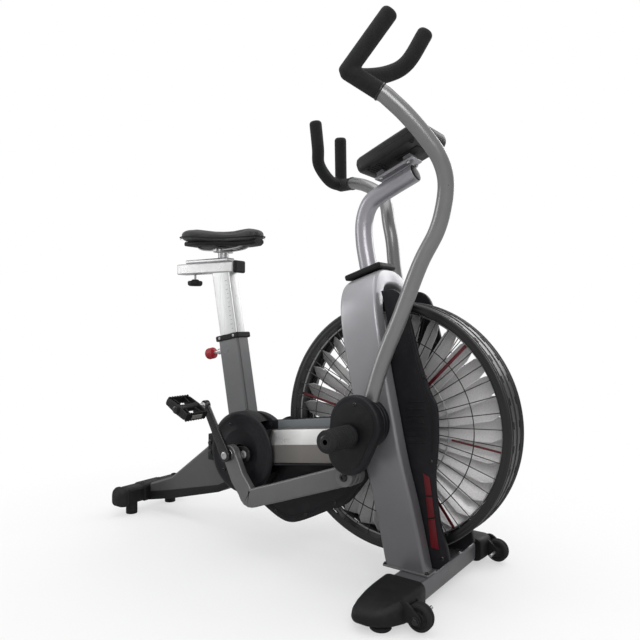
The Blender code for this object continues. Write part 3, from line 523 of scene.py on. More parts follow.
def hex_bolt(mesh, origin, axis, corner=0.0065, height=0.005, washer=0.0085):
    """Hexagon head with a chamfered top on a round washer."""
    origin, axis = Vector(origin), Vector(axis).normalized()
    turn(mesh, [(0.0, 0.0), (washer, 0.0), (washer, 0.0010), (washer - 0.0006, 0.0014),
                (0.0, 0.0014)], origin, axis, 24)
    across = axis.orthogonal().normalized()
    rings = [ring(mesh, origin + axis * z, across, axis.cross(across), r, 6)
             for r, z in ((corner, 0.0014), (corner, height - 0.0009), (corner * 0.86, height))]
    skin(mesh, rings, caps=False)
    mesh.faces.new(rings[-1])


def button_bolt(mesh, origin, axis, r, h):
    """Button head with a socket."""
    turn(mesh, [(r, 0.0), (r, 0.0012), (r * 0.94, h * 0.55), (r * 0.75, h * 0.85),
                (r * 0.50, h), (r * 0.42, h), (r * 0.42, h * 0.45), (0.0, h * 0.42)],
         origin, axis, 28)


def plate(mesh, outlines, y0, y1, bevel=0.002, steps=2):
    """An (x, z) outline, and any holes, given thickness along Y, edges rounded over."""
    curve = bpy.data.curves.new("outline", 'CURVE')
    curve.dimensions = '2D'
    curve.fill_mode = 'BOTH'
    curve.extrude = max(0.0, abs(y1 - y0) / 2 - bevel)
    curve.bevel_depth = bevel
    curve.bevel_resolution = steps
    curve.offset = -bevel
    for outline in outlines:
        spline = curve.splines.new('POLY')
        spline.points.add(len(outline) - 1)
        for point, (x, z) in zip(spline.points, outline):
            point.co = (x, z, 0, 1)
        spline.use_cyclic_u = True
    data = evaluated(bpy.data.objects.new("outline", curve))
    data.transform(Matrix.Translation((0, (y0 + y1) / 2, 0)) @ Matrix.Rotation(pi / 2, 4, 'X'))
    mesh.from_mesh(data)
    bmesh.ops.remove_doubles(mesh, verts=mesh.verts, dist=0.00001)


def evaluated(obj):
    """The finished mesh of an unlinked object, which is then removed."""
    if obj.name not in scene.collection.objects:
        scene.collection.objects.link(obj)
    bpy.context.view_layer.update()
    data = bpy.data.meshes.new_from_object(
        obj.evaluated_get(bpy.context.evaluated_depsgraph_get()))
    bpy.data.objects.remove(obj, do_unlink=True)
    return data


def weld_bead(mesh, corners, radius=0.0022):
    """A rippled fillet along a closed path."""
    path, radii = [], []
    corners = [Vector(p) for p in corners]
    for a, b in zip(corners, corners[1:] + corners[:1]):
        count = max(2, int((b - a).length / 0.0022))
        for k in range(count):
            path.append(a.lerp(b, k / count))
            radii.append(radius * (1.0 + 0.22 * sin(2.1 * len(path))))
    sweep(mesh, path, radii, 7, loop=True)


def slanted_bar(mesh, top, bottom, section):
    """Bar between (x, z) top and bottom lines; section is (y, height as a share)."""
    rings = []
    for (xt, zt), (xb, zb) in zip(top, bottom):
        rings.append([mesh.verts.new((xb + (xt - xb) * f, y, zb + (zt - zb) * f))
                      for y, f in section])
    skin(mesh, rings)


def remeshed(mesh, voxel, relax_steps):
    bmesh.ops.recalc_face_normals(mesh, faces=mesh.faces)
    data = bpy.data.meshes.new("tmp")
    mesh.to_mesh(data)
    mesh.free()
    obj = bpy.data.objects.new("tmp", data)
    voxels = obj.modifiers.new("voxels", 'REMESH')
    voxels.mode = 'VOXEL'
    voxels.voxel_size = voxel
    relax = obj.modifiers.new("relax", 'SMOOTH')
    relax.factor = 0.5
    relax.iterations = relax_steps
    return evaluated(obj)


# ============================================================ finishing pieces
def finish_piece(name, mesh, material, body, slot, replaces=None, angle=38.0, mirror=False,
                 swing=0.0, soft_levels=0):
    """Turn a bmesh into a named object that rides on a body."""
    moves = [Matrix.Translation((ORIGIN_SHIFT, 0, 0))]
    if swing:
        axle = Matrix.Translation((0, 0, FAN_Z))
        moves.insert(0, axle @ Matrix.Rotation(swing, 4, 'Y') @ axle.inverted())
    if mirror:
        moves.insert(0, Matrix.Diagonal((1, -1, 1, 1)))
    for move in moves:
        bmesh.ops.transform(mesh, matrix=move, verts=mesh.verts)
    bmesh.ops.recalc_face_normals(mesh, faces=mesh.faces)
    data = bpy.data.meshes.new(name)
    mesh.to_mesh(data)
    mesh.free()
    data.materials.append(material)
    data.shade_smooth()
    data.set_sharp_from_angle(angle=radians(angle))
    obj = bpy.data.objects.new(name, data)
    scene.collection.objects.link(obj)
    if soft_levels:
        soft = obj.modifiers.new("soft", 'SUBSURF')
        soft.levels = soft_levels
        soft.render_levels = soft_levels
    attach(obj, body)
    if replaces:
        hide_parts(replaces)


def piece(material, slot, body="frame", replaces=None, suffix="", **finish):
    """Decorator: builds a piece at once, named after the function below it."""
    def run(build):
        mesh = bmesh.new()
        build(mesh)
        finish_piece(build.__name__ + suffix, mesh, material, body, slot, replaces, **finish)
        return build
    return run


def pair(material, slot, replaces=None, bodies=FRAMES, **finish):
    """Decorator: builds the right-hand piece, then its mirror image on the left."""
    def run(build):
        for suffix, body in zip(("_R", "_L"), bodies):
            left = suffix == "_L"
            piece(material, slot, body, replaces and replaces + suffix, suffix, mirror=left,
                  swing=-SWING if left and bodies == ARMS else 0.0, **finish)(build)
        return build
    return run


def keep(name, material, width):
    """Refinish a CAD node whose shape stays, easing its edges by width if given."""
    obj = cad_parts[name]
    obj.data.materials.clear()
    obj.data.materials.append(material)
    if width:
        obj.modifiers.new("weld", 'WELD').merge_threshold = 0.00003
        ease = obj.modifiers.new("ease", 'BEVEL')
        ease.width = width
        ease.segments = 2
        ease.limit_method = 'ANGLE'
        ease.angle_limit = radians(40)
        ease.harden_normals = False


for kept in (
        ("front_stabilizer", GRAY, 0.0015), ("rear_stabilizer", BLACK, 0.0015),
        ("rear_spine", GRAY_DARK, 0.0012), ("wheel_axle_R", STEEL_Y, 0),
        ("wheel_axle_L", STEEL_Y, 0), ("rear_joint_cover", BLACK, 0.0012),
        ("mast_collar", BLACK, 0.0012), ("seat_tube", GRAY_SEAT, 0.0010),
        ("seat_collar", BLACK, 0.0010), ("slider_cap", BLACK_SOFT, 0.0010),
        ("saddle_carriage", STEEL_X, 0.0008), ("seat_rail", SILVER, 0.0010),
        ("console_bracket", LILAC, 0.0010), ("console_button", RED, 0.0012),
        ("fan_pulley", STEEL_Y, 0), ("fan_axle", STEEL_DIM, 0), ("drive_belt", RUBBER, 0),
        ("crank_pulley", BLACK_SOFT, 0.0006), ("crank_spindle", STEEL_DIM, 0)):
    keep(*kept)


# ================================================================ ground frame
FRONT_FOOT = (0.112, -0.275)            # x, y
# set back in x, y, z, half length, half height
END_CAP = [
    (0, -0.1700, 0.046, 0.052, 0.030), (0, -0.1740, 0.046, 0.0545, 0.0305),
    (0, -0.1980, 0.0445, 0.056, 0.030), (0, -0.2300, 0.043, 0.057, 0.029),
    (0.004, -0.2550, 0.040, 0.055, 0.0270), (0.011, -0.2830, 0.0365, 0.049, 0.0225),
    (0.020, -0.3040, 0.0335, 0.038, 0.0180), (0.027, -0.3170, 0.0315, 0.025, 0.0130),
    (0.030, -0.3225, 0.0305, 0.012, 0.0070)]
REAR_CAP = [
    (0, -0.1153, 0.062, 0.0295, 0.0300), (0, -0.1180, 0.062, 0.0305, 0.0305),
    (0, -0.1300, 0.0615, 0.0302, 0.0300), (0, -0.1390, 0.0600, 0.0275, 0.0270),
    (0, -0.1450, 0.0585, 0.0220, 0.0215), (0, -0.1480, 0.0575, 0.0130, 0.0125)]


def bar_end(mesh, x, stations, corner):
    loft(mesh, [((x - back, y, z), (length, 0, 0), (0, 0, height))
                for back, y, z, length, height in stations], corner, 6)


@pair(BLACK, "black_plastic", "front_end_cap")
def front_end_cap_vis(mesh):
    bar_end(mesh, STABILIZER_X, END_CAP, 0.016)
    # the two ears that hold the wheel
    for y in (-0.2200, -0.2600):
        plate(mesh, [capsule((0.160, 0.046), (0.189, 0.0345), 0.021, 0.0125, 14)],
              y - 0.0035, y + 0.0035, 0.0012)


@pair(RUBBER, "rubber")
def front_foot_pad(mesh):
    x, y = FRONT_FOOT
    turn(mesh, [(0.0, 0.0004), (0.0215, 0.0004), (0.0238, 0.0025), (0.0238, 0.0085),
                (0.0205, 0.0110), (0.0135, 0.0125), (0.0110, 0.0150), (0.0110, 0.0260),
                (0.0, 0.0260)], (x, y, 0.0), (0, 0, 1), 40)
    for a in turns(20):
        box(mesh, (0.0022, 0.0022, 0.0060), (x + 0.0232 * cos(a), y + 0.0232 * sin(a), 0.0056),
            corner=0.0006)


@pair(RUBBER, "rubber", "transport_wheel", WHEELS)
def transport_tyre(mesh):
    half = [(0.0052, 0.0125), (0.0120, 0.0125), (0.0135, 0.0100), (0.0205, 0.0100),
            (0.0222, 0.0125), (0.0255, 0.0125), (0.0285, 0.0108), (0.0298, 0.0075),
            (0.0298, 0.0035), (0.0287, 0.0028), (0.0287, 0.0008)]
    turn(mesh, half + [(0.0300, 0.0)] + mirrored(half)[len(half):], WHEEL_CENTRE, segments=56)


@pair(BLACK_SOFT, "rubber", bodies=WHEELS)
def transport_hub(mesh):
    x, y, z = WHEEL_CENTRE
    for s in (-1, 1):
        turn(mesh, [(0.0054, s * 0.0102), (0.0054, s * 0.0136), (0.0098, s * 0.0136),
                    (0.0118, s * 0.0122), (0.0118, s * 0.0102)], WHEEL_CENTRE, segments=40)
        for a in turns(6):
            turn(mesh, [(0.0, s * 0.0112), (0.0026, s * 0.0112), (0.0026, s * 0.0098),
                        (0.0, s * 0.0098)],
                 (x + 0.0170 * cos(a), y, z + 0.0170 * sin(a)), segments=14)


@pair(BLACK_GLOSS, "steel")
def wheel_bolt_head(mesh):
    x, _, z = WHEEL_CENTRE
    hex_bolt(mesh, (x, -0.2638, z), (0, -1, 0), corner=0.0070, height=0.0058, washer=0.0090)


@pair(RUBBER, "rubber", "rear_end_cap")
def rear_end_cap_vis(mesh):
    bar_end(mesh, REAR_X, REAR_CAP, 0.012)
    for y in (-0.1210, -0.1255):
        bar_end(mesh, REAR_X, [(0, y + d, 0.0617, 0.0311, 0.0309) for d in (-0.0007, 0.0007)],
                0.0125)


@pair(RUBBER, "rubber")
def rear_foot_sleeve(mesh):
    turn(mesh, [(0.0, 0.0004), (0.0170, 0.0004), (0.0188, 0.0022), (0.0188, 0.0100),
                (0.0188, 0.0110), (0.0192, 0.0112), (0.0194, 0.0140), (0.0192, 0.0165),
                (0.0188, 0.0168), (0.0188, 0.0300), (0.0, 0.0300)],
         (REAR_X + 0.006, -0.085, 0.0), (0, 0, 1), 40)


@piece(BLACK, "black_plastic")
def spine_shade_strip(mesh):
    """Painted shade: a black strip along the spine's lower edge, where the spine's underside
    lies in shade.
    """
    plate(mesh, [[(-0.9545, 0.0365), (-0.832, 0.0625), (-0.620, 0.1185), (-0.535, 0.1610),
                  (-0.530, 0.1870), (-0.620, 0.1420), (-0.832, 0.0920), (-0.9545, 0.0660)]],
          -0.0316, 0.0316, 0.0012)


@piece(BLACK_GLOSS, "steel")
def frame_bolts(mesh):
    for y in (-0.036, 0.036):
        button_bolt(mesh, (REAR_X, y, 0.0926), (0, 0, 1), 0.0080, 0.0040)
    for s in (-1, 1):
        for z in (0.292, 0.262):
            hex_bolt(mesh, (-0.5805, s * 0.1050, z), (0, s, 0), corner=0.0070, height=0.0060,
                     washer=0.0095)


@pair(BEIGE, "silver", "side_beam")
def side_beam_vis(mesh):
    """Side beam: a flat lower face and a sloped upper one."""
    slanted_bar(
        mesh,
        top=[(-0.3525, 0.3541), (-0.300, 0.3620), (-0.170, 0.3777), (-0.0425, 0.3930)],
        bottom=[(-0.3525, 0.2611), (-0.300, 0.2690), (-0.150, 0.2881), (-0.0215, 0.3045)],
        section=[(-0.1050, 0.05), (-0.1050, 0.30), (-0.1050, 0.52), (-0.1042, 0.555),
                 (-0.0900, 0.945), (-0.0880, 0.985), (-0.0860, 1.0), (-0.0730, 1.0),
                 (-0.0706, 0.985), (-0.0700, 0.95), (-0.0700, 0.05), (-0.0706, 0.015),
                 (-0.0730, 0.0), (-0.1020, 0.0), (-0.1044, 0.015)])


@pair(BLACK, "silver")
def side_beam_tail(mesh):
    """The beam's plain rear end, round the crank spindle."""
    plate(mesh, [[(-0.592, 0.240), (-0.592, 0.318), (-0.3530, 0.3541), (-0.3530, 0.2611),
                  (-0.520, 0.236)], circle(CRANK_AXIS, 0.0215)], -0.1050, -0.0700, 0.003)


@pair(SLOPE_HIGHLIGHT, "silver")
def side_beam_highlight(mesh):
    """Painted highlight: the beam's sloped upper side in a much paler copy of its paint, for the
    light that face catches.
    """
    slanted_bar(
        mesh,
        top=[(-0.3450, 0.3552), (-0.300, 0.3620), (-0.170, 0.3777), (-0.0440, 0.3928)],
        bottom=[(-0.3450, 0.2622), (-0.300, 0.2690), (-0.150, 0.2881), (-0.0230, 0.3043)],
        section=[(-0.1049, 0.548), (-0.1046, 0.566), (-0.0906, 0.950), (-0.0894, 0.978),
                 (-0.0886, 0.960), (-0.1030, 0.560)])


@piece(GRAY_DARK, "frame_gray")
def yoke_welds(mesh):
    for y in (-0.0302, 0.0302):
        weld_bead(mesh, [(-0.5900, y, 0.2480), (-0.5900, y, 0.3060), (-0.5440, y, 0.3060),
                         (-0.5440, y, 0.2480)])


@pair(BLACK_SOFT, "black_plastic")
def beam_trim(mesh):
    """A strip of edge trim under each beam."""
    path = catmull([(x, -0.0875, z) for x, z in
                    ((-0.560, 0.2385), (-0.520, 0.2345), (-0.300, 0.2672), (-0.0300, 0.3010))],
                   5)
    sections = []
    for i, p in enumerate(path):
        t = tangent(path, i)
        normal = Vector((-t.z, 0, t.x))
        sections.append((p - normal * 0.0020, (0, 0.0168, 0), normal * 0.0030))
    loft(mesh, sections, 0.002, 2)


# ======================================================================= tower
# the right leg's centre line, from its foot to the crown
LEG = [(0.094, -0.105, 0.0705), (0.058, -0.105, 0.220), (0.027, -0.105, 0.330),
       (0.000, -0.105, 0.450), (-0.026, -0.105, 0.570), (-0.043, -0.102, 0.650),
       (-0.056, -0.090, 0.704), (-0.066, -0.068, 0.743), (-0.072, -0.038, 0.763),
       (-0.075, 0.000, 0.768)]
CROWN = Vector(LEG[-1])
TILT_FROM_Z, TILT_FULL_Z = 0.570, 0.763     # the tube twists to the crown's tilt between
# inner cover (x, z): the front edge, which is smoothed, then the rest
COVER_FRONT = [(-0.004, 0.742), (0.030, 0.745), (0.060, 0.720), (0.084, 0.645), (0.104, 0.572),
               (0.131, 0.500), (0.150, 0.462), (0.154, 0.410), (0.153, 0.355), (0.148, 0.285),
               (0.160, 0.190), (0.178, 0.135), (0.186, 0.102)]
COVER_REST = [(0.160, 0.076), (0.060, 0.076), (0.030, 0.220), (0.000, 0.330), (-0.030, 0.450),
              (-0.045, 0.555), (0.0315, 0.572), (0.0170, 0.652), (0.0050, 0.712)]


@piece(GRAY, "frame_gray", replaces="tower_frame", angle=40)
def tower_shell(mesh):
    path = catmull(LEG + [(x, -y, z) for x, y, z in LEG[-2::-1]])
    sections = []
    for i, p in enumerate(path):
        t = tangent(path, i)
        share = min(1.0, max(0.0, (p.z - TILT_FROM_Z) / (TILT_FULL_Z - TILT_FROM_Z)))
        wide = Vector((cos(CROWN_TILT * share), 0, sin(CROWN_TILT * share)))
        thick = t.cross(wide)
        if i in (0, len(path) - 1):
            thick = Vector((0, 1 if t.z > 0 else -1, 0))
        sections.append((p, wide * 0.054, thick.normalized() * 0.022))
    loft(mesh, sections, 0.0085, 5)


@pair(GRAY_LINK, "frame_gray")
def leg_base_plate(mesh):
    box(mesh, (0.1220, 0.0460, 0.0052), (0.0935, -0.1065, 0.0733), corner=0.004, edge=0.0012)


@pair(BLACK_GLOSS, "steel")
def base_bolts(mesh):
    for x in (0.0385, 0.1485):
        hex_bolt(mesh, (x, -0.1240, 0.0758), (0, 0, 1), corner=0.0042, height=0.0040,
                 washer=0.0055)


@pair(BLACK_SOFT, "black_plastic", "inner_cover")
def inner_cover_vis(mesh):
    front = [(p.x, p.z) for p in catmull([(x, 0, z) for x, z in COVER_FRONT], 5)]
    plate(mesh, [front + COVER_REST, circle(FAN_AXIS, AXLE_BORE_R, 32)],
          -0.0825, -0.0708, 0.0022, 3)


@pair(BLACK, "black_plastic")
def cover_ridges(mesh):
    """A raised line that follows the cover's front edge, and short louvres behind it."""
    line = [(0.066, 0.690), (0.086, 0.610), (0.112, 0.520), (0.136, 0.455), (0.141, 0.400),
            (0.139, 0.350)]
    sweep(mesh, catmull([at_y(p, -0.0830) for p in line]), 0.0016, 10, 0.001, 0.001)
    for k in range(7):
        z = 0.470 - 0.0165 * k
        sweep(mesh, [(0.072, -0.0829, z - 0.004), (0.096, -0.0829, z),
                     (0.120, -0.0829, z + 0.001)], 0.0017, 10, 0.001, 0.001)


@pair(BLACK_GLOSS, "steel")
def cover_screws(mesh):
    for place in ((0.060, 0.700), (0.138, 0.330), (0.168, 0.105), (0.120, 0.532)):
        button_bolt(mesh, at_y(place, -0.0822), (0, -1, 0), 0.0052, 0.0030)


@piece(RED_DARK, "red_plastic", replaces="accent_strip")
def accent_inlay(mesh):
    """Inlay on the lower part of the right cover, in three slanted lengths."""
    for outline in (
            [(0.118, 0.300), (0.135, 0.292), (0.1415, 0.2500), (0.1252, 0.2470)],
            [(0.1256, 0.2440), (0.1420, 0.2465), (0.1487, 0.1995), (0.1316, 0.1935)],
            [(0.1320, 0.1905), (0.1493, 0.1960), (0.160, 0.125), (0.140, 0.125)]):
        plate(mesh, [outline], -0.0850, -0.0829, 0.0006)


# =================================================================== seat post
SEAT_BASE = Vector((-0.590, 0, 0.610))
POST_HALF = (0.03725, 0.02025)
PIN_DEPTH = -0.035                      # the pull pin's place along the post
SEAT_UP = Vector((-sin(SEAT_TILT), 0, cos(SEAT_TILT)))
SEAT_TURN = Matrix.Rotation(-SEAT_TILT, 4, 'Y')
SEAT_BACK = SEAT_TURN @ Vector((-1, 0, 0))
KNOB = Vector((-0.765, 0, 0.790))


def seat_at(distance, x=0.0, y=0.0):
    """A point `distance` up the post, x forward and y sideways in its tilted frame."""
    return SEAT_BASE + SEAT_UP * distance + SEAT_TURN @ Vector((x, y, 0))


@piece(POST, "silver", "seat_mast", "seat_post")
def seat_post_vis(mesh):
    half_x, half_y = POST_HALF
    sections = [(seat_at(d), SEAT_TURN @ Vector((half_x - k, 0, 0)), (0, half_y - k, 0))
                for d, k in ((-0.150, 0.002), (-0.148, 0.0))]
    sections.append(((-0.6303, 0, 0.8172), (0.0380, 0, 0), (0, half_y, 0)))
    loft(mesh, sections, 0.0065, 5)


@piece(BLACK, "black_plastic", "seat_mast")
def post_holes(mesh):
    """Height holes down the post's rear face."""
    for k in range(9):
        turn(mesh, [(0.0, 0.0001), (0.0056, 0.0001), (0.0060, 0.00025), (0.0068, 0.00025),
                    (0.0071, 0.0001), (0.0071, -0.0006)],
             seat_at(0.185 - 0.028 * k, -0.03720), SEAT_BACK, 28)


@piece(GRAY_DARK, "black_plastic", "seat_mast")
def post_graduations(mesh):
    for y in (-0.02035, 0.02035):
        for k in range(15):
            width = 0.0055 if k % 2 else 0.0095
            box(mesh, (width, 0.0005, 0.0011),
                seat_at(0.180 - 0.014 * k, 0.0245 - width / 2, y), SEAT_TURN, 0.0002)


@piece(STEEL_Y, "steel")
def collar_screws(mesh):
    for s in (-1, 1):
        for x in (-0.030, 0.030):
            button_bolt(mesh, seat_at(0.002, x, s * 0.0307), (0, s, 0), 0.0045, 0.0026)


@piece(GRAY_SEAT, "frame_gray")
def seat_tube_weld(mesh):
    """Weld where the seat tube meets the spine."""
    weld_bead(mesh, [seat_at(-0.2790, x * 0.0415, y * 0.0245)
                     for x, y in ((-1, -1), (1, -1), (1, 1), (-1, 1))], 0.0026)


@piece(STEEL_X, "steel", "slide_knob")
def slider_knob_stud(mesh):
    turn(mesh, [(0.0, 0.0440), (0.0040, 0.0440), (0.0040, 0.0110)], KNOB, (0, 0, 1), 20)


@piece(BLACK, "black_plastic", "slide_knob", "slider_knob")
def slider_knob_vis(mesh):
    """Waisted knob under the rail, with seven finger flutes."""
    rings = []
    # radius, height, depth of flute as a share
    for r, h, flute in ((0.0001, 0.0105, 0), (0.0085, 0.0105, 0), (0.0115, 0.0095, 0),
                        (0.0130, 0.0065, 0), (0.0215, 0.0055, 0.4), (0.0248, 0.0030, 1),
                        (0.0250, -0.0040, 1), (0.0235, -0.0085, 0.8), (0.0190, -0.0115, 0.3),
                        (0.0001, -0.0120, 0)):
        level = []
        for a in turns(84):
            fluted = r * (1 - 0.060 * flute * (0.5 + 0.5 * cos(7 * a)))
            level.append(mesh.verts.new(KNOB + Vector((fluted * cos(a), fluted * sin(a), h))))
        rings.append(level)
    skin(mesh, rings)


@piece(STEEL_X, "steel", "height_pin")
def pull_pin_stem(mesh):
    turn(mesh, [(0.0, 0.0380), (0.0053, 0.0380), (0.0053, 0.0430), (0.0095, 0.0432),
                (0.0095, 0.0690), (0.0086, 0.0700), (0.0053, 0.0702), (0.0053, 0.0900),
                (0.0, 0.0900)], seat_at(PIN_DEPTH), SEAT_BACK, 32)


@piece(RED, "red_plastic", "height_pin", "pull_pin")
def pull_pin_head(mesh):
    profile = [(0.0, 0.0885), (0.0075, 0.0885), (0.0095, 0.0900), (0.0150, 0.0915),
               (0.0180, 0.0940)]
    for k in range(4):
        h = 0.0960 + 0.0050 * k
        profile += [(0.0185, h), (0.0185, h + 0.0026), (0.0174, h + 0.0031),
                    (0.0174, h + 0.0042)]
    profile += [(0.0178, 0.1160), (0.0160, 0.1185), (0.0105, 0.1198), (0.0, 0.1200)]
    turn(mesh, profile, seat_at(PIN_DEPTH), SEAT_BACK, 44)


# ====================================================================== saddle
# x, half width, underside z, top z; tail to nose
SADDLE = [(-0.7570, 0.052, 0.921, 0.947), (-0.7520, 0.074, 0.915, 0.952),
          (-0.7400, 0.090, 0.911, 0.956), (-0.7180, 0.1010, 0.909, 0.9585),
          (-0.6900, 0.1010, 0.909, 0.9560), (-0.6600, 0.0930, 0.909, 0.9510),
          (-0.6300, 0.0790, 0.908, 0.9460), (-0.6000, 0.0640, 0.907, 0.9440),
          (-0.5700, 0.0520, 0.906, 0.9445), (-0.5400, 0.0430, 0.905, 0.9470),
          (-0.5150, 0.0375, 0.905, 0.9490), (-0.4950, 0.0330, 0.906, 0.9490),
          (-0.4830, 0.0260, 0.910, 0.9460), (-0.4780, 0.0170, 0.916, 0.9400)]
SKIN_INSET = -0.0035        # the pad starts this much thin, and is blown up
CLAMP_X, CLAMP_Z = -0.636, 0.8890


def saddle_skin(mesh):
    rings = []
    for x, width, low, high in SADDLE:
        centre, height = (low + high) / 2, (high - low) / 2
        level = []
        for a in turns(40):
            ca, sa = cos(a), sin(a)
            power = 0.62 if sa > 0 else 0.42
            y = copysign(abs(ca) ** 0.60, ca) * (width + SKIN_INSET)
            z = copysign(abs(sa) ** power, sa) * (height + SKIN_INSET)
            if sa > 0:
                # the top is hollowed between its edges, deeper at the tail
                z -= (0.0035 * (1 - abs(y / (width + 1e-6)) ** 2)
                      * max(0.0, min(1.0, (-0.52 - x) / 0.15)))
            if sa < 0:
                # the skirt tucks in below its widest line
                y *= 1.0 - 0.16 * (abs(sa) ** 1.5)
            level.append(mesh.verts.new((x, y, centre + z)))
        rings.append(level)
    skin(mesh, rings)


def puffed(data, pressure, frames, cap, pin_below):
    """Inflate a closed skin with Cloth; no vertex moves beyond cap or, once pinned, at all."""
    obj = bpy.data.objects.new("puff", data)
    scene.collection.objects.link(obj)
    rest = [v.co.copy() for v in data.vertices]
    held = obj.vertex_groups.new(name="held")
    for v in data.vertices:
        if v.co.z < pin_below:
            held.add([v.index], 1.0, 'REPLACE')
    cloth = obj.modifiers.new("cloth", 'CLOTH')
    settings = cloth.settings
    settings.quality = 6
    settings.mass = 0.25
    settings.tension_stiffness = 12
    settings.compression_stiffness = 12
    settings.shear_stiffness = 6
    settings.bending_stiffness = 1.2
    settings.use_pressure = True
    settings.uniform_pressure_force = pressure
    settings.effector_weights.gravity = 0.0
    settings.vertex_group_mass = "held"
    cloth.collision_settings.use_collision = False
    cloth.point_cache.frame_start = 1
    cloth.point_cache.frame_end = frames
    scene.frame_start = 1
    scene.frame_end = frames
    for number in range(1, frames + 1):
        scene.frame_set(number)
    blown = obj.evaluated_get(bpy.context.evaluated_depsgraph_get()).to_mesh()
    moved = [v.co.copy() for v in blown.vertices]
    obj.modifiers.remove(cloth)
    for v, start, end in zip(data.vertices, rest, moved):
        shift = end - start
        if shift.length > cap:
            shift = shift.normalized() * cap
        v.co = start + shift
    bpy.data.objects.remove(obj, do_unlink=True)
    scene.frame_set(1)
    return data


@piece(VINYL, "saddle_cover", "saddle_slide", "saddle", angle=180, soft_levels=1)
def saddle_pad(mesh):
    raw = bmesh.new()
    saddle_skin(raw)
    data = remeshed(raw, voxel=0.0045, relax_steps=3)
    data = puffed(data, pressure=3.2, frames=18, cap=0.0060, pin_below=0.9125)
    # sewn channels and the centre groove go in after the pad is blown up
    for v in data.vertices:
        x, y, z = v.co
        if z > 0.930:
            width = 0.102 if x < -0.69 else max(0.030, 0.102 - (x + 0.69) * 0.40)
            seam = abs(abs(y) - width * 0.66)
            v.co.z -= (0.0026 * exp(-(seam / 0.0034) ** 2)
                       * min(1.0, max(0.0, (-0.500 - x) / 0.03)))
            v.co.z -= (0.0042 * exp(-(y / 0.0085) ** 2)
                       * max(0.0, min(1.0, (-0.530 - x) / 0.06)))
        v.co.z = min(v.co.z, 0.9645)
    mesh.from_mesh(data)


def saddle_outline(scale, lift=0.0):
    right = [(x, -width * scale, low + 0.40 * (high - low) + lift)
             for x, width, low, high in SADDLE]
    return [Vector(p) for p in right + [(x, -y, z) for x, y, z in right[::-1]]]


@piece(BLACK_SOFT, "saddle_cover", "saddle_slide")
def saddle_piping(mesh):
    sweep(mesh, catmull(saddle_outline(1.004), 3)[:-1], 0.0019, 10, loop=True)


@piece(GRAY_LINK, "saddle_cover", "saddle_slide")
def saddle_stitches(mesh):
    outline = saddle_outline(0.985, -0.006)
    for a, b in zip(outline, outline[1:] + outline[:1]):
        count = max(1, int((b - a).length / 0.0048))
        along = (b - a).normalized()
        out = Vector((along.y, -along.x, 0)) * 0.0008
        for k in range(count):
            c = a.lerp(b, (k + 0.5) / count)
            sweep(mesh, [c - along * 0.0014 + out, c + out * 1.8, c + along * 0.0014 + out],
                  0.00035, 5)


@piece(BLACK, "black_plastic", "saddle_slide")
def saddle_shell(mesh):
    """The hard shell under the pad."""
    loft(mesh, [((x, 0, low - 0.0010), (0, width * 0.80, 0), (0, 0, 0.0065))
                for x, width, low, _ in SADDLE[1:-1]], 0.005)


@piece(STEEL_X, "steel", "saddle_slide")
def saddle_rails(mesh):
    rail = [(-0.715, 0.036, 0.902), (-0.700, 0.034, 0.8945), (-0.670, 0.027, 0.8905),
            (-0.630, 0.023, 0.8905), (-0.600, 0.021, 0.8905), (-0.560, 0.019, 0.8940),
            (-0.535, 0.014, 0.9020)]
    for s in (-1, 1):
        sweep(mesh, catmull([(x, s * y, z) for x, y, z in rail]), 0.0034, 14, 0.001, 0.001)


@piece(STEEL_X, "steel", "saddle_slide")
def saddle_clamp(mesh):
    loft(mesh, [((CLAMP_X + x, 0, CLAMP_Z), (0, 0.0300, 0), (0, 0, 0.0070))
                for x in (-0.016, 0.016)], 0.004)
    turn(mesh, [(0.0145, 0.0), (0.0165, 0.0), (0.0165, 0.0180), (0.0150, 0.0195),
                (0.0145, 0.0195)], (CLAMP_X, 0, 0.8660), (0, 0, 1), 32)


@piece(STEEL_Y, "steel", "saddle_slide")
def saddle_clamp_bolts(mesh):
    for s in (-1, 1):
        hex_bolt(mesh, (CLAMP_X, s * 0.0298, CLAMP_Z), (0, s, 0), corner=0.0055,
                 height=0.0052, washer=0.0068)


# ============================================================ mast and console
CROWN_UP = Vector((-sin(CROWN_TILT), 0, cos(CROWN_TILT)))
MAST = [CROWN + CROWN_UP * 0.0226] + catmull(
    [CROWN + CROWN_UP * 0.0520, (-0.1030, 0, 0.880), (-0.1040, 0, 0.938), (-0.0850, 0, 0.985),
     (-0.0400, 0, 1.012), (0.0480, 0, 1.050)], 10)
CONSOLE_CENTRE = Vector((0.010, 0, 1.036))
CONSOLE_TURN = Matrix.Rotation(-CONSOLE_TILT, 4, 'Y')
CONSOLE_OUT = CONSOLE_TURN @ Vector((0, 0, 1))
CONSOLE_UP = CONSOLE_TURN @ Vector((1, 0, 0))
SEAM_H = 0.0680             # height of the shell's split line
INK_H = 0.0894              # height of the marks on the display


def console_at(u, y, h):
    """A point on the console: u up its slope, h out from its base point."""
    return CONSOLE_CENTRE + CONSOLE_UP * u + CONSOLE_OUT * h + Vector((0, y, 0))


def console_box(mesh, size, u, y, h, corner, edge=None):
    box(mesh, size, console_at(u, y, h), CONSOLE_TURN, corner, edge)


@piece(LILAC, "frame_gray", replaces="mast_tube")
def mast_tube_vis(mesh):
    sweep(mesh, MAST, 0.0240, 48, 0.0, 0.0015)


@piece(BLACK, "black_plastic")
def mast_end_plug(mesh):
    turn(mesh, [(0.0, 0.0045), (0.0165, 0.0045), (0.0215, 0.0030), (0.0230, 0.0014),
                (0.0230, 0.0)], MAST[-1], tangent(MAST, len(MAST) - 1), 40)


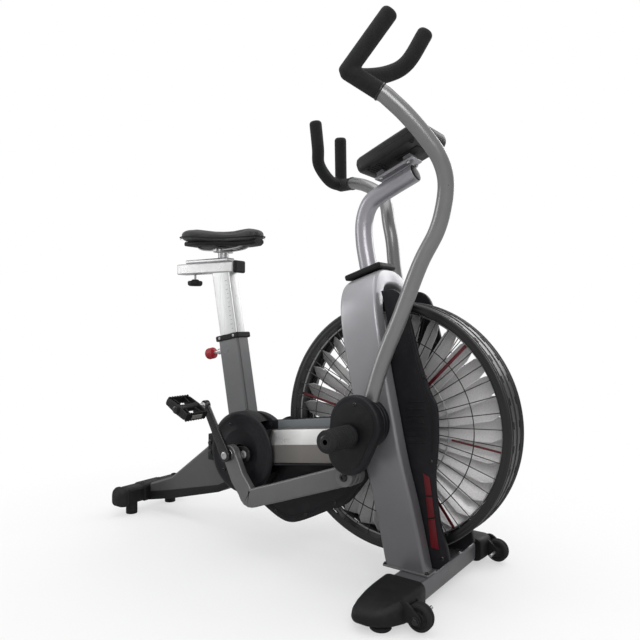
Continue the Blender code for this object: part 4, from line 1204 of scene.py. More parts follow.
@piece(HOUSE, "black_plastic", replaces="console_housing", angle=30)
def console_shell(mesh):
    # u, half width, half depth, h
    stations = [
        (-0.0830, 0.052, 0.0060, 0.0665), (-0.0815, 0.059, 0.0105, 0.0670),
        (-0.0780, 0.0655, 0.0145, 0.0675), (-0.070, 0.0725, 0.0185, 0.0680),
        (-0.060, 0.0755, 0.0195, 0.0680), (0.010, 0.0780, 0.0195, 0.0680),
        (0.104, 0.0795, 0.0195, 0.0680), (0.116, 0.0770, 0.0175, 0.0680),
        (0.124, 0.0710, 0.0135, 0.0675), (0.129, 0.0620, 0.0080, 0.0670),
        (0.1305, 0.050, 0.0035, 0.0665)]
    loft(mesh, [(console_at(u, 0, h), (0, width, 0), CONSOLE_OUT * depth)
                for u, width, depth, h in stations], 0.0105, 6)


@piece(BLACK, "black_plastic")
def console_back(mesh):
    """A raised door, two rows of ribs and four screw sockets on the back."""
    console_box(mesh, (0.070, 0.060, 0.0040), 0.048, 0, 0.0480, 0.006, 0.0014)
    for k in range(6):
        for y in (-0.040, 0.040):
            console_box(mesh, (0.0030, 0.040, 0.0030), -0.020 - 0.0072 * k, y, 0.0488, 0.001)
    for y in (-0.066, 0.066):
        for u in (-0.050, 0.086):
            turn(mesh, [(0.0, 0.0), (0.0062, 0.0), (0.0062, 0.0032), (0.0052, 0.0040),
                        (0.0030, 0.0040), (0.0030, 0.0016), (0.0, 0.0016)],
                 console_at(u, y, 0.0490), -CONSOLE_OUT, 24)


@piece(BLACK_GLOSS, "black_plastic")
def console_seam(mesh):
    """Split line round the middle of the shell."""
    loft(mesh, [(console_at(u, 0, SEAM_H), (0, width, 0), CONSOLE_OUT * 0.0007)
                for u, width in ((-0.0825, 0.0560), (-0.070, 0.0732), (0.010, 0.0787),
                                 (0.104, 0.0802), (0.1295, 0.0600))], 0.0006, 2)


@piece(BLACK_GLOSS, "black_plastic")
def console_bezel(mesh):
    console_box(mesh, (0.0860, 0.1220, 0.0022), 0.020, 0, 0.0876, 0.006, 0.0008)


@piece(LCD, "black_plastic", replaces="console_screen")
def console_lcd(mesh):
    console_box(mesh, (0.0640, 0.0980, 0.0012), 0.022, 0, 0.0886, 0.003, 0.0004)


def zero(mesh, u, y, size):
    """A six-bar numeral 0 lying on the display."""
    for du, dy in ((1, 0), (0.5, -0.5), (-0.5, -0.5), (-1, 0), (-0.5, 0.5), (0.5, 0.5)):
        bar = (0.82, 0.16) if dy else (0.16, 0.78)
        console_box(mesh, (size * bar[0], size * bar[1], 0.0004), u + du * size,
                    y + dy * size, INK_H, 0.0003, 0.0001)


@piece(BLACK_GLOSS, "black_plastic")
def console_numerals(mesh):
    """Two rows of zeros, a colon, two rules and a bar chart."""
    for y in (0.036, 0.024, 0.006, -0.006):
        zero(mesh, 0.036, y, 0.0060)
    for y in (-0.028, -0.037, 0.034, 0.025, 0.016):
        zero(mesh, 0.012, y, 0.0042)
    for u in (0.033, 0.039):
        console_box(mesh, (0.0014, 0.0014, 0.0004), u, 0.015, INK_H, 0.0003, 0.0001)
    for u in (0.0245, 0.0):
        console_box(mesh, (0.0005, 0.088, 0.0004), u, 0, INK_H, 0.0002, 0.0001)
    for k in range(11):
        console_box(mesh, (0.0018 + 0.0007 * (k % 5), 0.0050, 0.0004), -0.0055,
                    0.036 - 0.0072 * k, INK_H, 0.0002, 0.0001)


@piece(BLACK, "black_plastic")
def console_keys(mesh):
    """A collar round the button, and four keys beside it."""
    turn(mesh, [(0.0098, 0.0), (0.0112, 0.0), (0.0120, -0.0010), (0.0120, -0.0030),
                (0.0098, -0.0030)], console_at(-0.060, 0, 0.0885), CONSOLE_OUT, 40)
    for y in (-0.030, 0.030, -0.050, 0.050):
        console_box(mesh, (0.0100, 0.0130, 0.0030), -0.058, y, 0.0880, 0.003, 0.001)


@piece(RUBBER, "rubber")
def sensor_lead(mesh):
    """A lead from the console's back down to the mast."""
    sweep(mesh, catmull([console_at(-0.050, 0.022, 0.0500), console_at(-0.062, 0.026, 0.0300),
                         (-0.064, 0.029, 1.020), (-0.083, 0.027, 0.992),
                         (-0.100, 0.018, 0.966), (-0.1215, 0.010, 0.944),
                         (-0.1275, 0.004, 0.925), (-0.1240, 0.0, 0.912)], 8),
          0.0022, 12, 0.001, 0.001)


@piece(STEEL_Y, "steel")
def bracket_bolts(mesh):
    for u in (-0.042, 0.042):
        for y in (-0.024, 0.024):
            hex_bolt(mesh, console_at(u, y, 0.0250), -CONSOLE_OUT, corner=0.0042,
                     height=0.0040, washer=0.0056)


# ================================================================ the fan cage
WIRES = 48
SLOT_PITCHES = 36
SLOT_SHARE = 0.32                       # of a pitch
BAND_RADII = (0.3175, 0.3150)           # outside, inside
BAND_Y = (-0.0400, -0.0225, -0.0165, 0.0165, 0.0225, 0.0400)
UNSLOTTED = (radians(108), radians(212))


@pair(WIRE, "black_steel", "cage_grille")
def cage_rim(mesh):
    turn(mesh, [(0.2985, -0.0462), (0.2985, -0.0474), (0.3000, -0.0483), (0.3070, -0.0483),
                (0.3085, -0.0478), (0.3100, -0.0478), (0.3115, -0.0483), (0.3160, -0.0480),
                (0.3186, -0.0468), (0.3198, -0.0446), (0.3200, -0.0420), (0.3194, -0.0396),
                (0.3180, -0.0382), (0.3160, -0.0378), (0.3140, -0.0384), (0.3120, -0.0420),
                (0.3085, -0.0450), (0.3000, -0.0455)], at_y(FAN_AXIS, 0), segments=144)


@pair(WIRE, "black_steel")
def cage_wires(mesh):
    # radius, y along one wire
    wire = [(0.0500, -0.0452), (0.110, -0.0462), (0.190, -0.0466), (0.270, -0.0462),
            (0.2980, -0.0455), (0.3080, -0.0430)]
    for a in turns(WIRES, start=0.5):
        sweep(mesh, [(r * cos(a), y, FAN_Z + r * sin(a)) for r, y in wire], 0.00125, 6)
    for radius in (0.1400, 0.2300):
        torus(mesh, radius, 0.0013, -0.0445)


@pair(BLACK_SOFT, "black_steel")
def cage_hub_plate(mesh):
    turn(mesh, [(0.0128, -0.0010), (0.0200, -0.0022), (0.0440, -0.0022), (0.0500, -0.0010),
                (0.0530, 0.0012), (0.0530, 0.0022), (0.0128, 0.0022)],
         at_y(FAN_AXIS, -0.0462), segments=64)


@piece(WIRE, "black_steel", replaces="cage_band", angle=50)
def cage_band_vis(mesh):
    """Rim band with two rows of punched slots."""
    pitch = 2 * pi / SLOT_PITCHES
    angles = []
    for start in turns(SLOT_PITCHES):
        angles += [start, start + pitch * (1 - SLOT_SHARE) / 2,
                   start + pitch * (1 + SLOT_SHARE) / 2]
    grid = {}
    for i, a in enumerate(angles):
        for j, y in enumerate(BAND_Y):
            for q, r in enumerate(BAND_RADII):
                grid[i, j, q] = mesh.verts.new((r * cos(a), y, FAN_Z + r * sin(a)))

    def quad(*keys):
        mesh.faces.new([grid[key] for key in keys])

    last = len(BAND_Y) - 1
    for i, a in enumerate(angles):
        k = (i + 1) % len(angles)
        for j in range(last):
            n = j + 1
            slotted = i % 3 == 1 and j in (1, 3) and not UNSLOTTED[0] < a < UNSLOTTED[1]
            if not slotted:
                quad((i, j, 0), (k, j, 0), (k, n, 0), (i, n, 0))
                quad((i, j, 1), (i, n, 1), (k, n, 1), (k, j, 1))
            else:
                quad((i, j, 0), (k, j, 0), (k, j, 1), (i, j, 1))
                quad((i, n, 0), (i, n, 1), (k, n, 1), (k, n, 0))
                quad((i, j, 0), (i, j, 1), (i, n, 1), (i, n, 0))
                quad((k, j, 0), (k, n, 0), (k, n, 1), (k, j, 1))
        quad((i, 0, 0), (i, 0, 1), (k, 0, 1), (k, 0, 0))
        quad((i, last, 0), (k, last, 0), (k, last, 1), (i, last, 1))


@piece(WIRE, "black_steel")
def cage_band_ribs(mesh):
    for y in (-0.0300, 0.0300):
        torus(mesh, 0.3168, 0.0030, y, 128, 10)
    torus(mesh, 0.3172, 0.0022, 0, 128)


# ===================================================================== the fan
VANES = 33
VANE_PITCH = radians(46)
VANE_ROOT, VANE_SPAN = 0.060, 0.234
VANE_HALF_WIDTH = 0.0380
VANE_HALF_THICK = 0.0006
STAY_END = 0.2925


def vane(mesh, angle):
    """One pitched vane of bent sheet, with a folded lip and a narrowed tip."""
    place = Matrix.Translation((0, 0, FAN_Z)) @ Matrix.Rotation(-angle, 4, 'Y')
    rows = []
    for i in range(9):
        u = i / 8.0
        r = VANE_ROOT + VANE_SPAN * u
        half = (VANE_HALF_WIDTH * (1 - 0.45 * max(0.0, (u - 0.90) / 0.10) ** 2)
                * (0.80 + 0.20 * min(1.0, u * 3)))
        rows.append([(r, v * half * cos(VANE_PITCH),
                      v * half * sin(VANE_PITCH) + (0.0022 if abs(v) == 1.0 else 0.0)
                      + 0.0012 * cos(v * 1.57))
                     for v in (-1.0, -0.86, -0.4, 0.0, 0.4, 0.86, 1.0)])
    top, low = ([[mesh.verts.new(place @ Vector((x, y, z + lift))) for x, y, z in row]
                 for row in rows] for lift in (VANE_HALF_THICK, -VANE_HALF_THICK))
    for i in range(8):
        for j in range(6):
            mesh.faces.new((top[i][j], top[i + 1][j], top[i + 1][j + 1], top[i][j + 1]))
            mesh.faces.new((low[i][j], low[i][j + 1], low[i + 1][j + 1], low[i + 1][j]))
        for j in (0, 6):
            mesh.faces.new((top[i][j], low[i][j], low[i + 1][j], top[i + 1][j]))
    for i in (0, 8):
        for j in range(6):
            mesh.faces.new((top[i][j], top[i][j + 1], low[i][j + 1], low[i][j]))


@piece(BLADE, "blade_silver", "fan", "fan_wheel", angle=30)
def fan_vanes(mesh):
    for a in turns(VANES):
        vane(mesh, a + radians(2))


@piece(RED_SHEET, "red_plastic", "fan", angle=30)
def fan_stays(mesh):
    """Four flat stays across each side of the wheel."""
    # direction in degrees, inner radius, half width
    for direction, start, width in ((46, 0.150, 0.0042), (-7, 0.170, 0.0026),
                                    (-53, 0.180, 0.0036), (168, 0.150, 0.0034)):
        c, s = cos(radians(direction)), sin(radians(direction))
        for y in (-0.0318, 0.0318):
            loft(mesh, [((r * c, y, FAN_Z + r * s), (-s * width, 0, c * width), (0, 0.0014, 0))
                        for r in (start, start + 0.002, STAY_END - 0.002, STAY_END)],
                 0.0009, 3)


@piece(BLADE, "blade_silver", "fan")
def fan_hub(mesh):
    turn(mesh, mirrored([(0.0105, -0.032), (0.020, -0.034), (0.026, -0.032), (0.030, -0.020),
                         (0.058, -0.013), (0.063, -0.010)]), at_y(FAN_AXIS, 0), segments=64)


@piece(STEEL_Y, "blade_silver", "fan")
def fan_tie_rings(mesh):
    for y in (-0.0290, 0.0290):
        torus(mesh, 0.1600, 0.0016, y)
        torus(mesh, 0.2930, 0.0024, y, 120, 10)


@piece(STEEL_Y, "steel", "fan")
def fan_rivets(mesh):
    for a in turns(9):
        for s in (-1, 1):
            turn(mesh, [(0.0034, -0.001), (0.0034, 0.0006), (0.0026, 0.0018), (0.0, 0.0023)],
                 (0.0440 * cos(a), s * 0.0166, FAN_Z + 0.0440 * sin(a)), (0, s, 0), 14)


# ============================================================ guards and covers
GUARD_BOTTOM = [(-0.509, 0.198), (-0.450, 0.152), (-0.403, 0.130), (-0.345, 0.103),
                (-0.300, 0.096), (-0.250, 0.112), (-0.163, 0.156), (-0.115, 0.180),
                (-0.060, 0.245), (-0.005, 0.330)]
# the belt guard: round the crank, along the bottom, round the fan axle
GUARD = (arc(CRANK_AXIS, 0.1160, 57, 225, 34)
         + [(p.x, p.z) for p in catmull([at_y(p, 0) for p in GUARD_BOTTOM], 5)][3:]
         + arc(FAN_AXIS, 0.031, -50, 96, 18))
DISC = (-0.449, 0.281)                  # centre of the right crank cover
DISC_R = 0.1180
SHROUD_Y = -0.1085


def inset(outline, distance):
    count = len(outline)
    pts = [Vector(p) for p in outline]
    area = sum(a[0] * b[1] - b[0] * a[1] for a, b in zip(outline, outline[1:] + outline[:1]))
    sign = 1 if area > 0 else -1
    out = []
    for i, q in enumerate(pts):
        before = (q - pts[i - 1]).normalized()
        after = (pts[(i + 1) % count] - q).normalized()
        normal0 = Vector((-before.y, before.x)) * sign
        normal1 = Vector((-after.y, after.x)) * sign
        middle = (normal0 + normal1).normalized()
        out.append(tuple(q + middle * (distance / max(0.5, middle.dot(normal0)))))
    return out


@piece(BLACK_SOFT, "black_plastic", replaces="belt_guard")
def belt_guard_skin(mesh):
    plate(mesh, [GUARD, circle(CRANK_AXIS, 0.0262)], -0.0694, -0.0672, 0.0009)
    plate(mesh, [GUARD, inset(GUARD, 0.0021)], -0.0694, -0.0488, 0.0008)


@piece(BLACK, "black_plastic")
def guard_lines(mesh):
    """Two raised lines inside the guard's edge, broken near the crank and fan axes."""
    for distance in (0.012, 0.018):
        line = [at_y(p, -0.0695) for p in inset(GUARD, distance)]
        line = [p for p in line if hypot(p.x - CRANK_AXIS[0], p.z - CRANK_AXIS[1]) > 0.097
                and hypot(p.x, p.z - FAN_Z) > 0.035]
        for a, b in zip(line, line[1:]):
            if (b - a).length < 0.06:
                sweep(mesh, [a, b], 0.0009, 6)


@piece(BLUEGRAY, "black_plastic")
def guard_trim(mesh):
    """A paler strip along the guard's upper edge."""
    rear, front, height = -0.345, -0.060, 0.038
    rear_z, front_z = (0.3770 + 0.1393 * (x + 0.36) for x in (rear, front))
    plate(mesh, [[(rear, rear_z), (front, front_z), (front, front_z - height),
                  (rear, rear_z - height)]], -0.0700, -0.0690, 0.0003, 1)


@piece(BLACK_GLOSS, "steel")
def guard_screws(mesh):
    for place in ((-0.350, 0.119), (-0.245, 0.128), (-0.148, 0.178)):
        button_bolt(mesh, at_y(place, -0.0693), (0, -1, 0), 0.0055, 0.0028)


@piece(BLACK_SOFT, "black_plastic", replaces="crank_shroud_R")
def crank_shroud_face(mesh):
    """Right crank cover: a shallow dish with rings."""
    turn(mesh, [(0.0250, -0.0081), (0.0250, -0.0056), (0.0290, -0.0048), (0.0320, -0.0056),
                (0.0620, -0.0056), (0.0640, -0.0064), (0.0680, -0.0064), (0.0700, -0.0056),
                (0.0980, -0.0056), (0.1015, -0.0068), (0.1055, -0.0076),
                (DISC_R - 0.0065, -0.0070), (DISC_R - 0.0025, -0.0048), (DISC_R, -0.0016),
                (DISC_R + 0.0002, 0.0), (DISC_R - 0.0022, 0.0), (DISC_R - 0.0050, -0.0020),
                (0.0250, -0.0020)], at_y(DISC, SHROUD_Y), segments=96)


@piece(BLACK, "black_plastic")
def crank_shroud_skirt(mesh):
    """The skirt behind the dish, in two arcs that leave a gap for the beam."""
    for start, end in ((54, 168), (206, 336)):
        plate(mesh, [arc(DISC, DISC_R, start, end, 40)
                     + arc(DISC, DISC_R - 0.0024, end, start, 40)], -0.1088, -0.0715, 0.0005, 1)


@piece(SILVER, "silver")
def shroud_rim_highlight(mesh):
    """Painted highlight: a pale silver line near the dish's front edge, for the light on its
    rim.
    """
    sweep(mesh, [at_y(p, -0.1143) for p in arc(DISC, 0.1075, -58, 50, 40)],
          0.0011, 8, 0.0004, 0.0004)


@piece(BLACK_GLOSS, "steel")
def shroud_screws(mesh):
    for a in (radians(118), radians(222), radians(282)):
        button_bolt(mesh, (DISC[0] + 0.088 * cos(a), -0.1141, DISC[1] + 0.088 * sin(a)),
                    (0, -1, 0), 0.0052, 0.0030)


@piece(BLACK_SOFT, "black_plastic", replaces="crank_shroud_L")
def crank_shroud_left_face(mesh):
    turn(mesh, [(0.0250, -0.0014), (0.0250, 0.0030), (0.0300, 0.0046), (0.0600, 0.0046),
                (0.0640, 0.0040), (0.0700, 0.0046), (0.0770, 0.0046), (0.0805, 0.0030),
                (0.0815, 0.0), (0.0780, -0.0014)], at_y(CRANK_AXIS, 0.1072), segments=80)


# ================================================== cranks, pedals and links
# side is -1 on the right (towards -Y) and +1 on the left
PEDAL_Y = 0.2380
PEDAL_TILT = radians(27)
TREAD_Y = 0.0365                        # half the span between a pedal's end plates
LINK_Y = 0.142


def tag(side):
    return "_R" if side < 0 else "_L"


def body_on(name, side):
    return name + ("_right" if side < 0 else "_left")


def link_pin(side):
    return (CRANK_AXIS[0] + side * CRANK_PIN_R, CRANK_AXIS[1])


def pedal_axis(side):
    return (CRANK_AXIS[0] - side * PEDAL_R * cos(PEDAL_ANGLE),
            CRANK_AXIS[1] - side * PEDAL_R * sin(PEDAL_ANGLE))


def lever_eye(angle):
    return (-LEVER * sin(angle), FAN_Z - LEVER * cos(angle))


def crank(side):
    pin, pedal_end = link_pin(side), pedal_axis(side)

    def turned(mesh, axis, segments, profile):
        turn(mesh, profile, at_y(axis, 0), (0, side, 0), segments)

    @piece(BLACK_GLOSS, "black_plastic", "crank", "crank_arm" + tag(side), tag(side))
    def crank_forging(mesh):
        plate(mesh, [capsule(CRANK_AXIS, pin, 0.0235, 0.0180, 24)],
              *sorted((side * 0.1159, side * 0.1255)), 0.0018, 3)
        # waisted arm from the link pin to the pedal
        start = at_y(pin, 0)
        arm = at_y(pedal_end, 0) - start
        along = arm.normalized()
        sections = []
        for i in range(15):
            u = i / 14
            width = 0.0185 - 0.0062 * u - 0.0012 * sin(pi * u)
            sections.append((start + along * arm.length * u + Vector((0, side * 0.1645, 0)),
                             Vector((-along.z, 0, along.x)) * width,
                             (0, 0.0062 - 0.0004 * sin(pi * u), 0)))
        loft(mesh, sections, 0.004, 5)
        turned(mesh, pin, 40, [(0.0, 0.1575), (0.0170, 0.1575), (0.0186, 0.1590),
                               (0.0186, 0.1698), (0.0170, 0.1712), (0.0, 0.1712)])
        turned(mesh, pedal_end, 40, [(0.0, 0.1570), (0.0125, 0.1570), (0.0142, 0.1586),
                                     (0.0142, 0.1705), (0.0128, 0.1720), (0.0, 0.1720)])

    @piece(STEEL_Y, "steel", "crank", suffix=tag(side))
    def crank_bright_parts(mesh):
        """Link pin, end caps of the two axes, pedal spindle."""
        turned(mesh, pin, 32, [(0.0, 0.1200), (0.0100, 0.1200), (0.0100, 0.1575),
                               (0.0, 0.1575)])
        turned(mesh, CRANK_AXIS, 32, [(0.0, 0.1255), (0.0115, 0.1255), (0.0115, 0.1272),
                                      (0.0090, 0.1284), (0.0055, 0.1284), (0.0050, 0.1270),
                                      (0.0, 0.1270)])
        turned(mesh, pin, 32, [(0.0, 0.1712), (0.0105, 0.1712), (0.0105, 0.1722),
                               (0.0085, 0.1732), (0.0050, 0.1732), (0.0046, 0.1718),
                               (0.0, 0.1718)])
        turned(mesh, pedal_end, 32, [(0.0, 0.1705), (0.0095, 0.1720), (0.0095, 0.1760),
                                     (0.0080, 0.1766), (0.0070, 0.1780), (0.0070, 0.2810),
                                     (0.0060, 0.2820), (0.0, 0.2820)])


def pedal(side):
    tilt = Matrix.Rotation(PEDAL_TILT, 4, 'Y')
    centre = at_y(pedal_axis(side), side * PEDAL_Y)
    body = body_on("pedal", side)
    ahead, upward = tilt @ Vector((1, 0, 0)), tilt @ Vector((0, 0, 1))

    def at(x, y, z=0):
        """A point in the pedal's tilted frame, y outwards."""
        return centre + tilt @ Vector((x, side * y, z))

    @piece(BLACK, "black_plastic", body, "pedal" + tag(side), tag(side))
    def pedal_cage(mesh):
        # barrel round the spindle
        turn(mesh, [(0.0078, -0.040), (0.0118, -0.040), (0.0128, -0.038), (0.0128, -0.030),
                    (0.0112, -0.026), (0.0105, 0.0), (0.0112, 0.026), (0.0128, 0.030),
                    (0.0128, 0.0405), (0.0118, 0.0425), (0.0078, 0.0425)],
             centre, (0, side, 0), 36)
        # two end plates, deepest at the middle
        for y in (-TREAD_Y, TREAD_Y):
            sections = []
            for i in range(13):
                u = -1 + i / 6
                half = 0.0105 + 0.0030 * (1 - abs(u)) - 0.0035 * (abs(u) > 0.95)
                sections.append((at(0.0445 * u, y), upward * half, (0, 0.0028, 0)))
            loft(mesh, sections, 0.0018, 3)
        # front and rear treads, with studs
        for x in (-0.0430, 0.0430):
            loft(mesh, [(at(x, TREAD_Y * (-1 + i / 4)), ahead * 0.0026, upward * 0.0118)
                        for i in range(9)], 0.0016, 3)
            for s in (-1, 1):
                for k in range(8):
                    stud = at(x, -0.0330 + 0.00943 * k, s * 0.0122)
                    turn(mesh, [(0.0030, 0.0), (0.0028, 0.0010), (0.0014, 0.0024),
                                (0.0, 0.0026)], stud - upward * s * 0.0006, upward * s, 4)
        # cross webs
        for x in (-0.0225, 0.0225):
            for y in (-0.020, 0.020):
                loft(mesh, [(at(x * 0.55, y * 0.9), upward * 0.0085, (0, 0.0020, 0)),
                            (at(x * 1.85, y * 1.1), upward * 0.0085, (0, 0.0020, 0))],
                     0.0012, 2)

    @piece(REFLECT, "black_plastic", body, suffix=tag(side))
    def pedal_reflectors(mesh):
        for x in (-0.0462, 0.0462):
            loft(mesh, [(at(x, y), ahead * 0.0012, upward * 0.0062)
                        for y in (-0.018, 0.018)], 0.001, 3)

    @piece(BLACK_GLOSS, "black_plastic", body, suffix=tag(side))
    def pedal_dust_cap(mesh):
        turn(mesh, [(0.0, 0.0462), (0.0060, 0.0458), (0.0092, 0.0445), (0.0100, 0.0425),
                    (0.0100, 0.0410), (0.0, 0.0410)], centre, (0, side, 0), 32)


def link(side):
    """Bent box-section link with rounded elbows and bushed eyes."""
    body = body_on("link", side)
    pin = link_pin(side)
    eye = lever_eye(LEVER_REST if side < 0 else LEVER_REST - SWING)
    axis = (0, side, 0)

    @piece(GRAY_LINK, "frame_gray", body, "link" + tag(side), tag(side), angle=32)
    def link_bar(mesh):
        start, end = at_y(pin, 0), at_y(eye, 0)
        upper = Vector((pin[0] + 0.032, 0, 0.218))
        lower = Vector((pin[0] + 0.072, 0, 0.163))
        rise = Vector((eye[0] - 0.120, 0, 0.243))
        elbow_end = lower.lerp(rise, 0.36)
        path = [start.lerp(upper, i / 8) for i in range(8)]
        path += catmull([upper, upper.lerp(lower, 0.62) + Vector((0.001, 0, 0.004)),
                         lower + Vector((0.004, 0, 0.0045)),
                         lower.lerp(rise, 0.22) + Vector((0, 0, 0.001)), elbow_end], 5)
        path += [elbow_end.lerp(rise, i / 8) for i in range(1, 9)]
        path += [rise.lerp(end, i / 8) for i in range(1, 9)]
        sections = []
        for i, p in enumerate(path):
            t = tangent(path, i)
            sections.append((p + Vector((0, side * LINK_Y, 0)),
                             Vector((-t.z, 0, t.x)) * 0.0262, (0, 0.0118, 0)))
        loft(mesh, sections, 0.0058, 5)
        for place in (start, end):
            turn(mesh, [(0.0106, 0.1300), (0.0245, 0.1300), (0.0264, 0.1318),
                        (0.0264, 0.1522), (0.0245, 0.1540), (0.0106, 0.1540)],
                 place, axis, 56)

    @piece(STEEL_Y, "steel", body, suffix=tag(side))
    def link_bushes(mesh):
        wall = [(0.0150, 0.1294), (0.0155, 0.1300), (0.0155, 0.1540)]
        turn(mesh, [(0.0104, 0.1294), *wall, (0.0150, 0.1546), (0.0104, 0.1546)],
             at_y(pin, 0), axis, 40)
        turn(mesh, [(0.0, 0.1294), *wall, (0.0150, 0.1560), (0.0, 0.1560)],
             at_y(eye, 0), axis, 40)


for build_part in (crank, pedal, link):
    for which in (-1, 1):
        build_part(which)

# ================================================================== swing arms
# the right arm's centre line, from the fan axle up
ARM = [(0.000, -0.1720, FAN_Z), (0.045, -0.168, 0.555), (0.088, -0.153, 0.673),
       (0.133, -0.141, 0.797), (0.170, -0.132, 0.872), (0.189, -0.134, 0.932),
       (0.200, -0.149, 0.984), (0.194, -0.170, 1.030), (0.171, -0.195, 1.075),
       (0.137, -0.225, 1.124), (0.101, -0.252, 1.165)]
ARM_PATH = catmull(ARM, 8)
GRIP_FORK = Vector((0.033, -0.3010, 1.217))
OUTER_TIP = Vector((0.122, -0.2690, 1.3370))
INNER_PRONG = [(0.032, -0.240, 1.224), (0.058, -0.165, 1.250), (0.094, -0.135, 1.279),
               (0.134, -0.119, 1.347)]
GRIP_AXIS = (GRIP_FORK - Vector(ARM[-1])).normalized()
ARM_END = Vector(ARM[-1]) + GRIP_AXIS * 0.012
EYE = lever_eye(LEVER_REST)
HOUSING_CENTRE = (0.0080, FAN_Z + 0.024)
COVER_TOP = (0.008, FAN_Z + 0.026)      # centres of the pivot cover's two rounds
COVER_FOOT = (-0.010, FAN_Z - 0.040)
PEG_Y = -0.2790


@pair(GRAY_ARM, "frame_gray", "swing_arm", ARMS)
def arm_tube_vis(mesh):
    sweep(mesh, ARM_PATH + [ARM_END - GRIP_AXIS * 0.001, ARM_END], 0.0190, 40)


@pair(GRAY_LINK, "frame_gray", bodies=ARMS)
def arm_hub(mesh):
    turn(mesh, [(0.0107, -0.1950), (0.0320, -0.1950), (0.0340, -0.1932), (0.0340, -0.1338),
                (0.0320, -0.1320), (0.0107, -0.1320)], at_y(FAN_AXIS, 0), segments=64)
    plate(mesh, [capsule(FAN_AXIS, EYE, 0.0300, 0.0260, 24)], -0.1720, -0.1580, 0.0020, 3)
    turn(mesh, [(0.0, -0.1890), (0.0225, -0.1890), (0.0240, -0.1874), (0.0240, -0.1580),
                (0.0, -0.1580)], at_y(EYE, 0))


@pair(BLACK_SOFT, "black_plastic", bodies=ARMS)
def arm_hub_housing(mesh):
    """Ribbed housing round the hub."""
    turn(mesh, [(0.0345, -0.1950), (0.0570, -0.1950), (0.0600, -0.1925), (0.0600, -0.1868),
                (0.0588, -0.1858), (0.0588, -0.1842), (0.0600, -0.1832), (0.0600, -0.1748),
                (0.0588, -0.1738), (0.0588, -0.1722), (0.0600, -0.1712), (0.0600, -0.1605),
                (0.0575, -0.1580), (0.0345, -0.1580)], at_y(HOUSING_CENTRE, 0), segments=80)


@pair(GRAY_LINK, "frame_gray", bodies=ARMS)
def arm_weld(mesh):
    along = tangent(ARM_PATH, 2)
    over = along.cross(Vector((0, 1, 0))).normalized()
    across = over.cross(along).normalized()
    weld_bead(mesh, [ARM_PATH[2] + across * 0.0192 * cos(a) + over * 0.0192 * sin(a)
                     + along * 0.0135 for a in turns(24)], 0.0021)


@pair(FOAM, "rubber", "grip", ARMS, angle=180, soft_levels=1)
def grip_foam(mesh):
    """Foam over the arm's end and its two prongs, merged into one skin."""
    raw = bmesh.new()
    sweep(raw, [ARM_END + GRIP_AXIS * 0.0045, ARM_END.lerp(GRIP_FORK, 0.25),
                ARM_END.lerp(GRIP_FORK, 0.5), ARM_END.lerp(GRIP_FORK, 0.75),
                GRIP_FORK + GRIP_AXIS * 0.001], 0.0202, 30, 0.0035, 0.009)
    along = (OUTER_TIP - GRIP_FORK).normalized()
    sweep(raw, [GRIP_FORK - along * 0.004]
          + [GRIP_FORK.lerp(OUTER_TIP - along * 0.006, k / 6) for k in range(1, 7)],
          0.0198, 30, 0.009, 0.0105)
    inner = catmull([GRIP_FORK] + INNER_PRONG)
    inner[-1] = inner[-1] - (inner[-1] - inner[-2]).normalized() * 0.006
    sweep(raw, inner, 0.0196, 30, 0.009, 0.0105)
    mesh.from_mesh(remeshed(raw, voxel=0.0030, relax_steps=4))


@pair(BLACK_GLOSS, "rubber", bodies=ARMS)
def grip_end_ring(mesh):
    turn(mesh, [(0.0191, -0.0010), (0.0206, -0.0010), (0.0212, 0.0), (0.0212, 0.0034),
                (0.0206, 0.0044), (0.0191, 0.0044)], ARM_END, GRIP_AXIS, 44)


@pair(BLACK_SOFT, "black_plastic", "pivot_cover", ARMS)
def pivot_cover_vis(mesh):
    plate(mesh, [capsule(COVER_TOP, COVER_FOOT, 0.0680, 0.0560, 40),
                 circle(FAN_AXIS, AXLE_BORE_R, 32)], -0.2270, -0.2010, 0.0065, 5)


@pair(BLACK, "black_plastic", bodies=ARMS)
def pivot_cover_panel(mesh):
    plate(mesh, [capsule(COVER_TOP, COVER_FOOT, 0.0540, 0.0420, 40), circle(FAN_AXIS, 0.0290)],
          -0.2284, -0.2262, 0.0009)
    torus(mesh, 0.0305, 0.0012, -0.2272, 56)


@pair(BLACK_GLOSS, "steel", bodies=ARMS)
def pivot_cover_bolts(mesh):
    button_bolt(mesh, at_y(EYE, -0.1888), (0, -1, 0), 0.0110, 0.0050)
    button_bolt(mesh, (0.012, -0.2280, FAN_Z + 0.074), (0, -1, 0), 0.0045, 0.0026)


@pair(RUBBER, "rubber", "foot_peg")
def foot_peg_vis(mesh):
    """Ribbed foot peg round the fan axle."""
    profile = [(0.0104, 0.048), (0.0215, 0.048), (0.0240, 0.0465), (0.0262, 0.0440)]
    for k in range(8):
        h = 0.0410 - 0.0108 * k
        profile += [(0.0265, h), (0.0265, h - 0.0060), (0.0248, h - 0.0070),
                    (0.0248, h - 0.0098)]
    profile += [(0.0265, -0.0440), (0.0250, -0.0480), (0.0215, -0.0500), (0.0104, -0.0500)]
    turn(mesh, profile, at_y(FAN_AXIS, PEG_Y), segments=64)


@pair(BLACK_GLOSS, "steel")
def peg_end_nut(mesh):
    turn(mesh, [(0.0, -0.3300), (0.0060, -0.3300), (0.0085, -0.3296), (0.0145, -0.3294),
                (0.0150, -0.3290), (0.0150, -0.3288), (0.0, -0.3288)],
         at_y(FAN_AXIS, 0), segments=40)
    hex_bolt(mesh, at_y(FAN_AXIS, -0.3240), (0, -1, 0), corner=0.0085, height=0.0058,
             washer=0.0140)


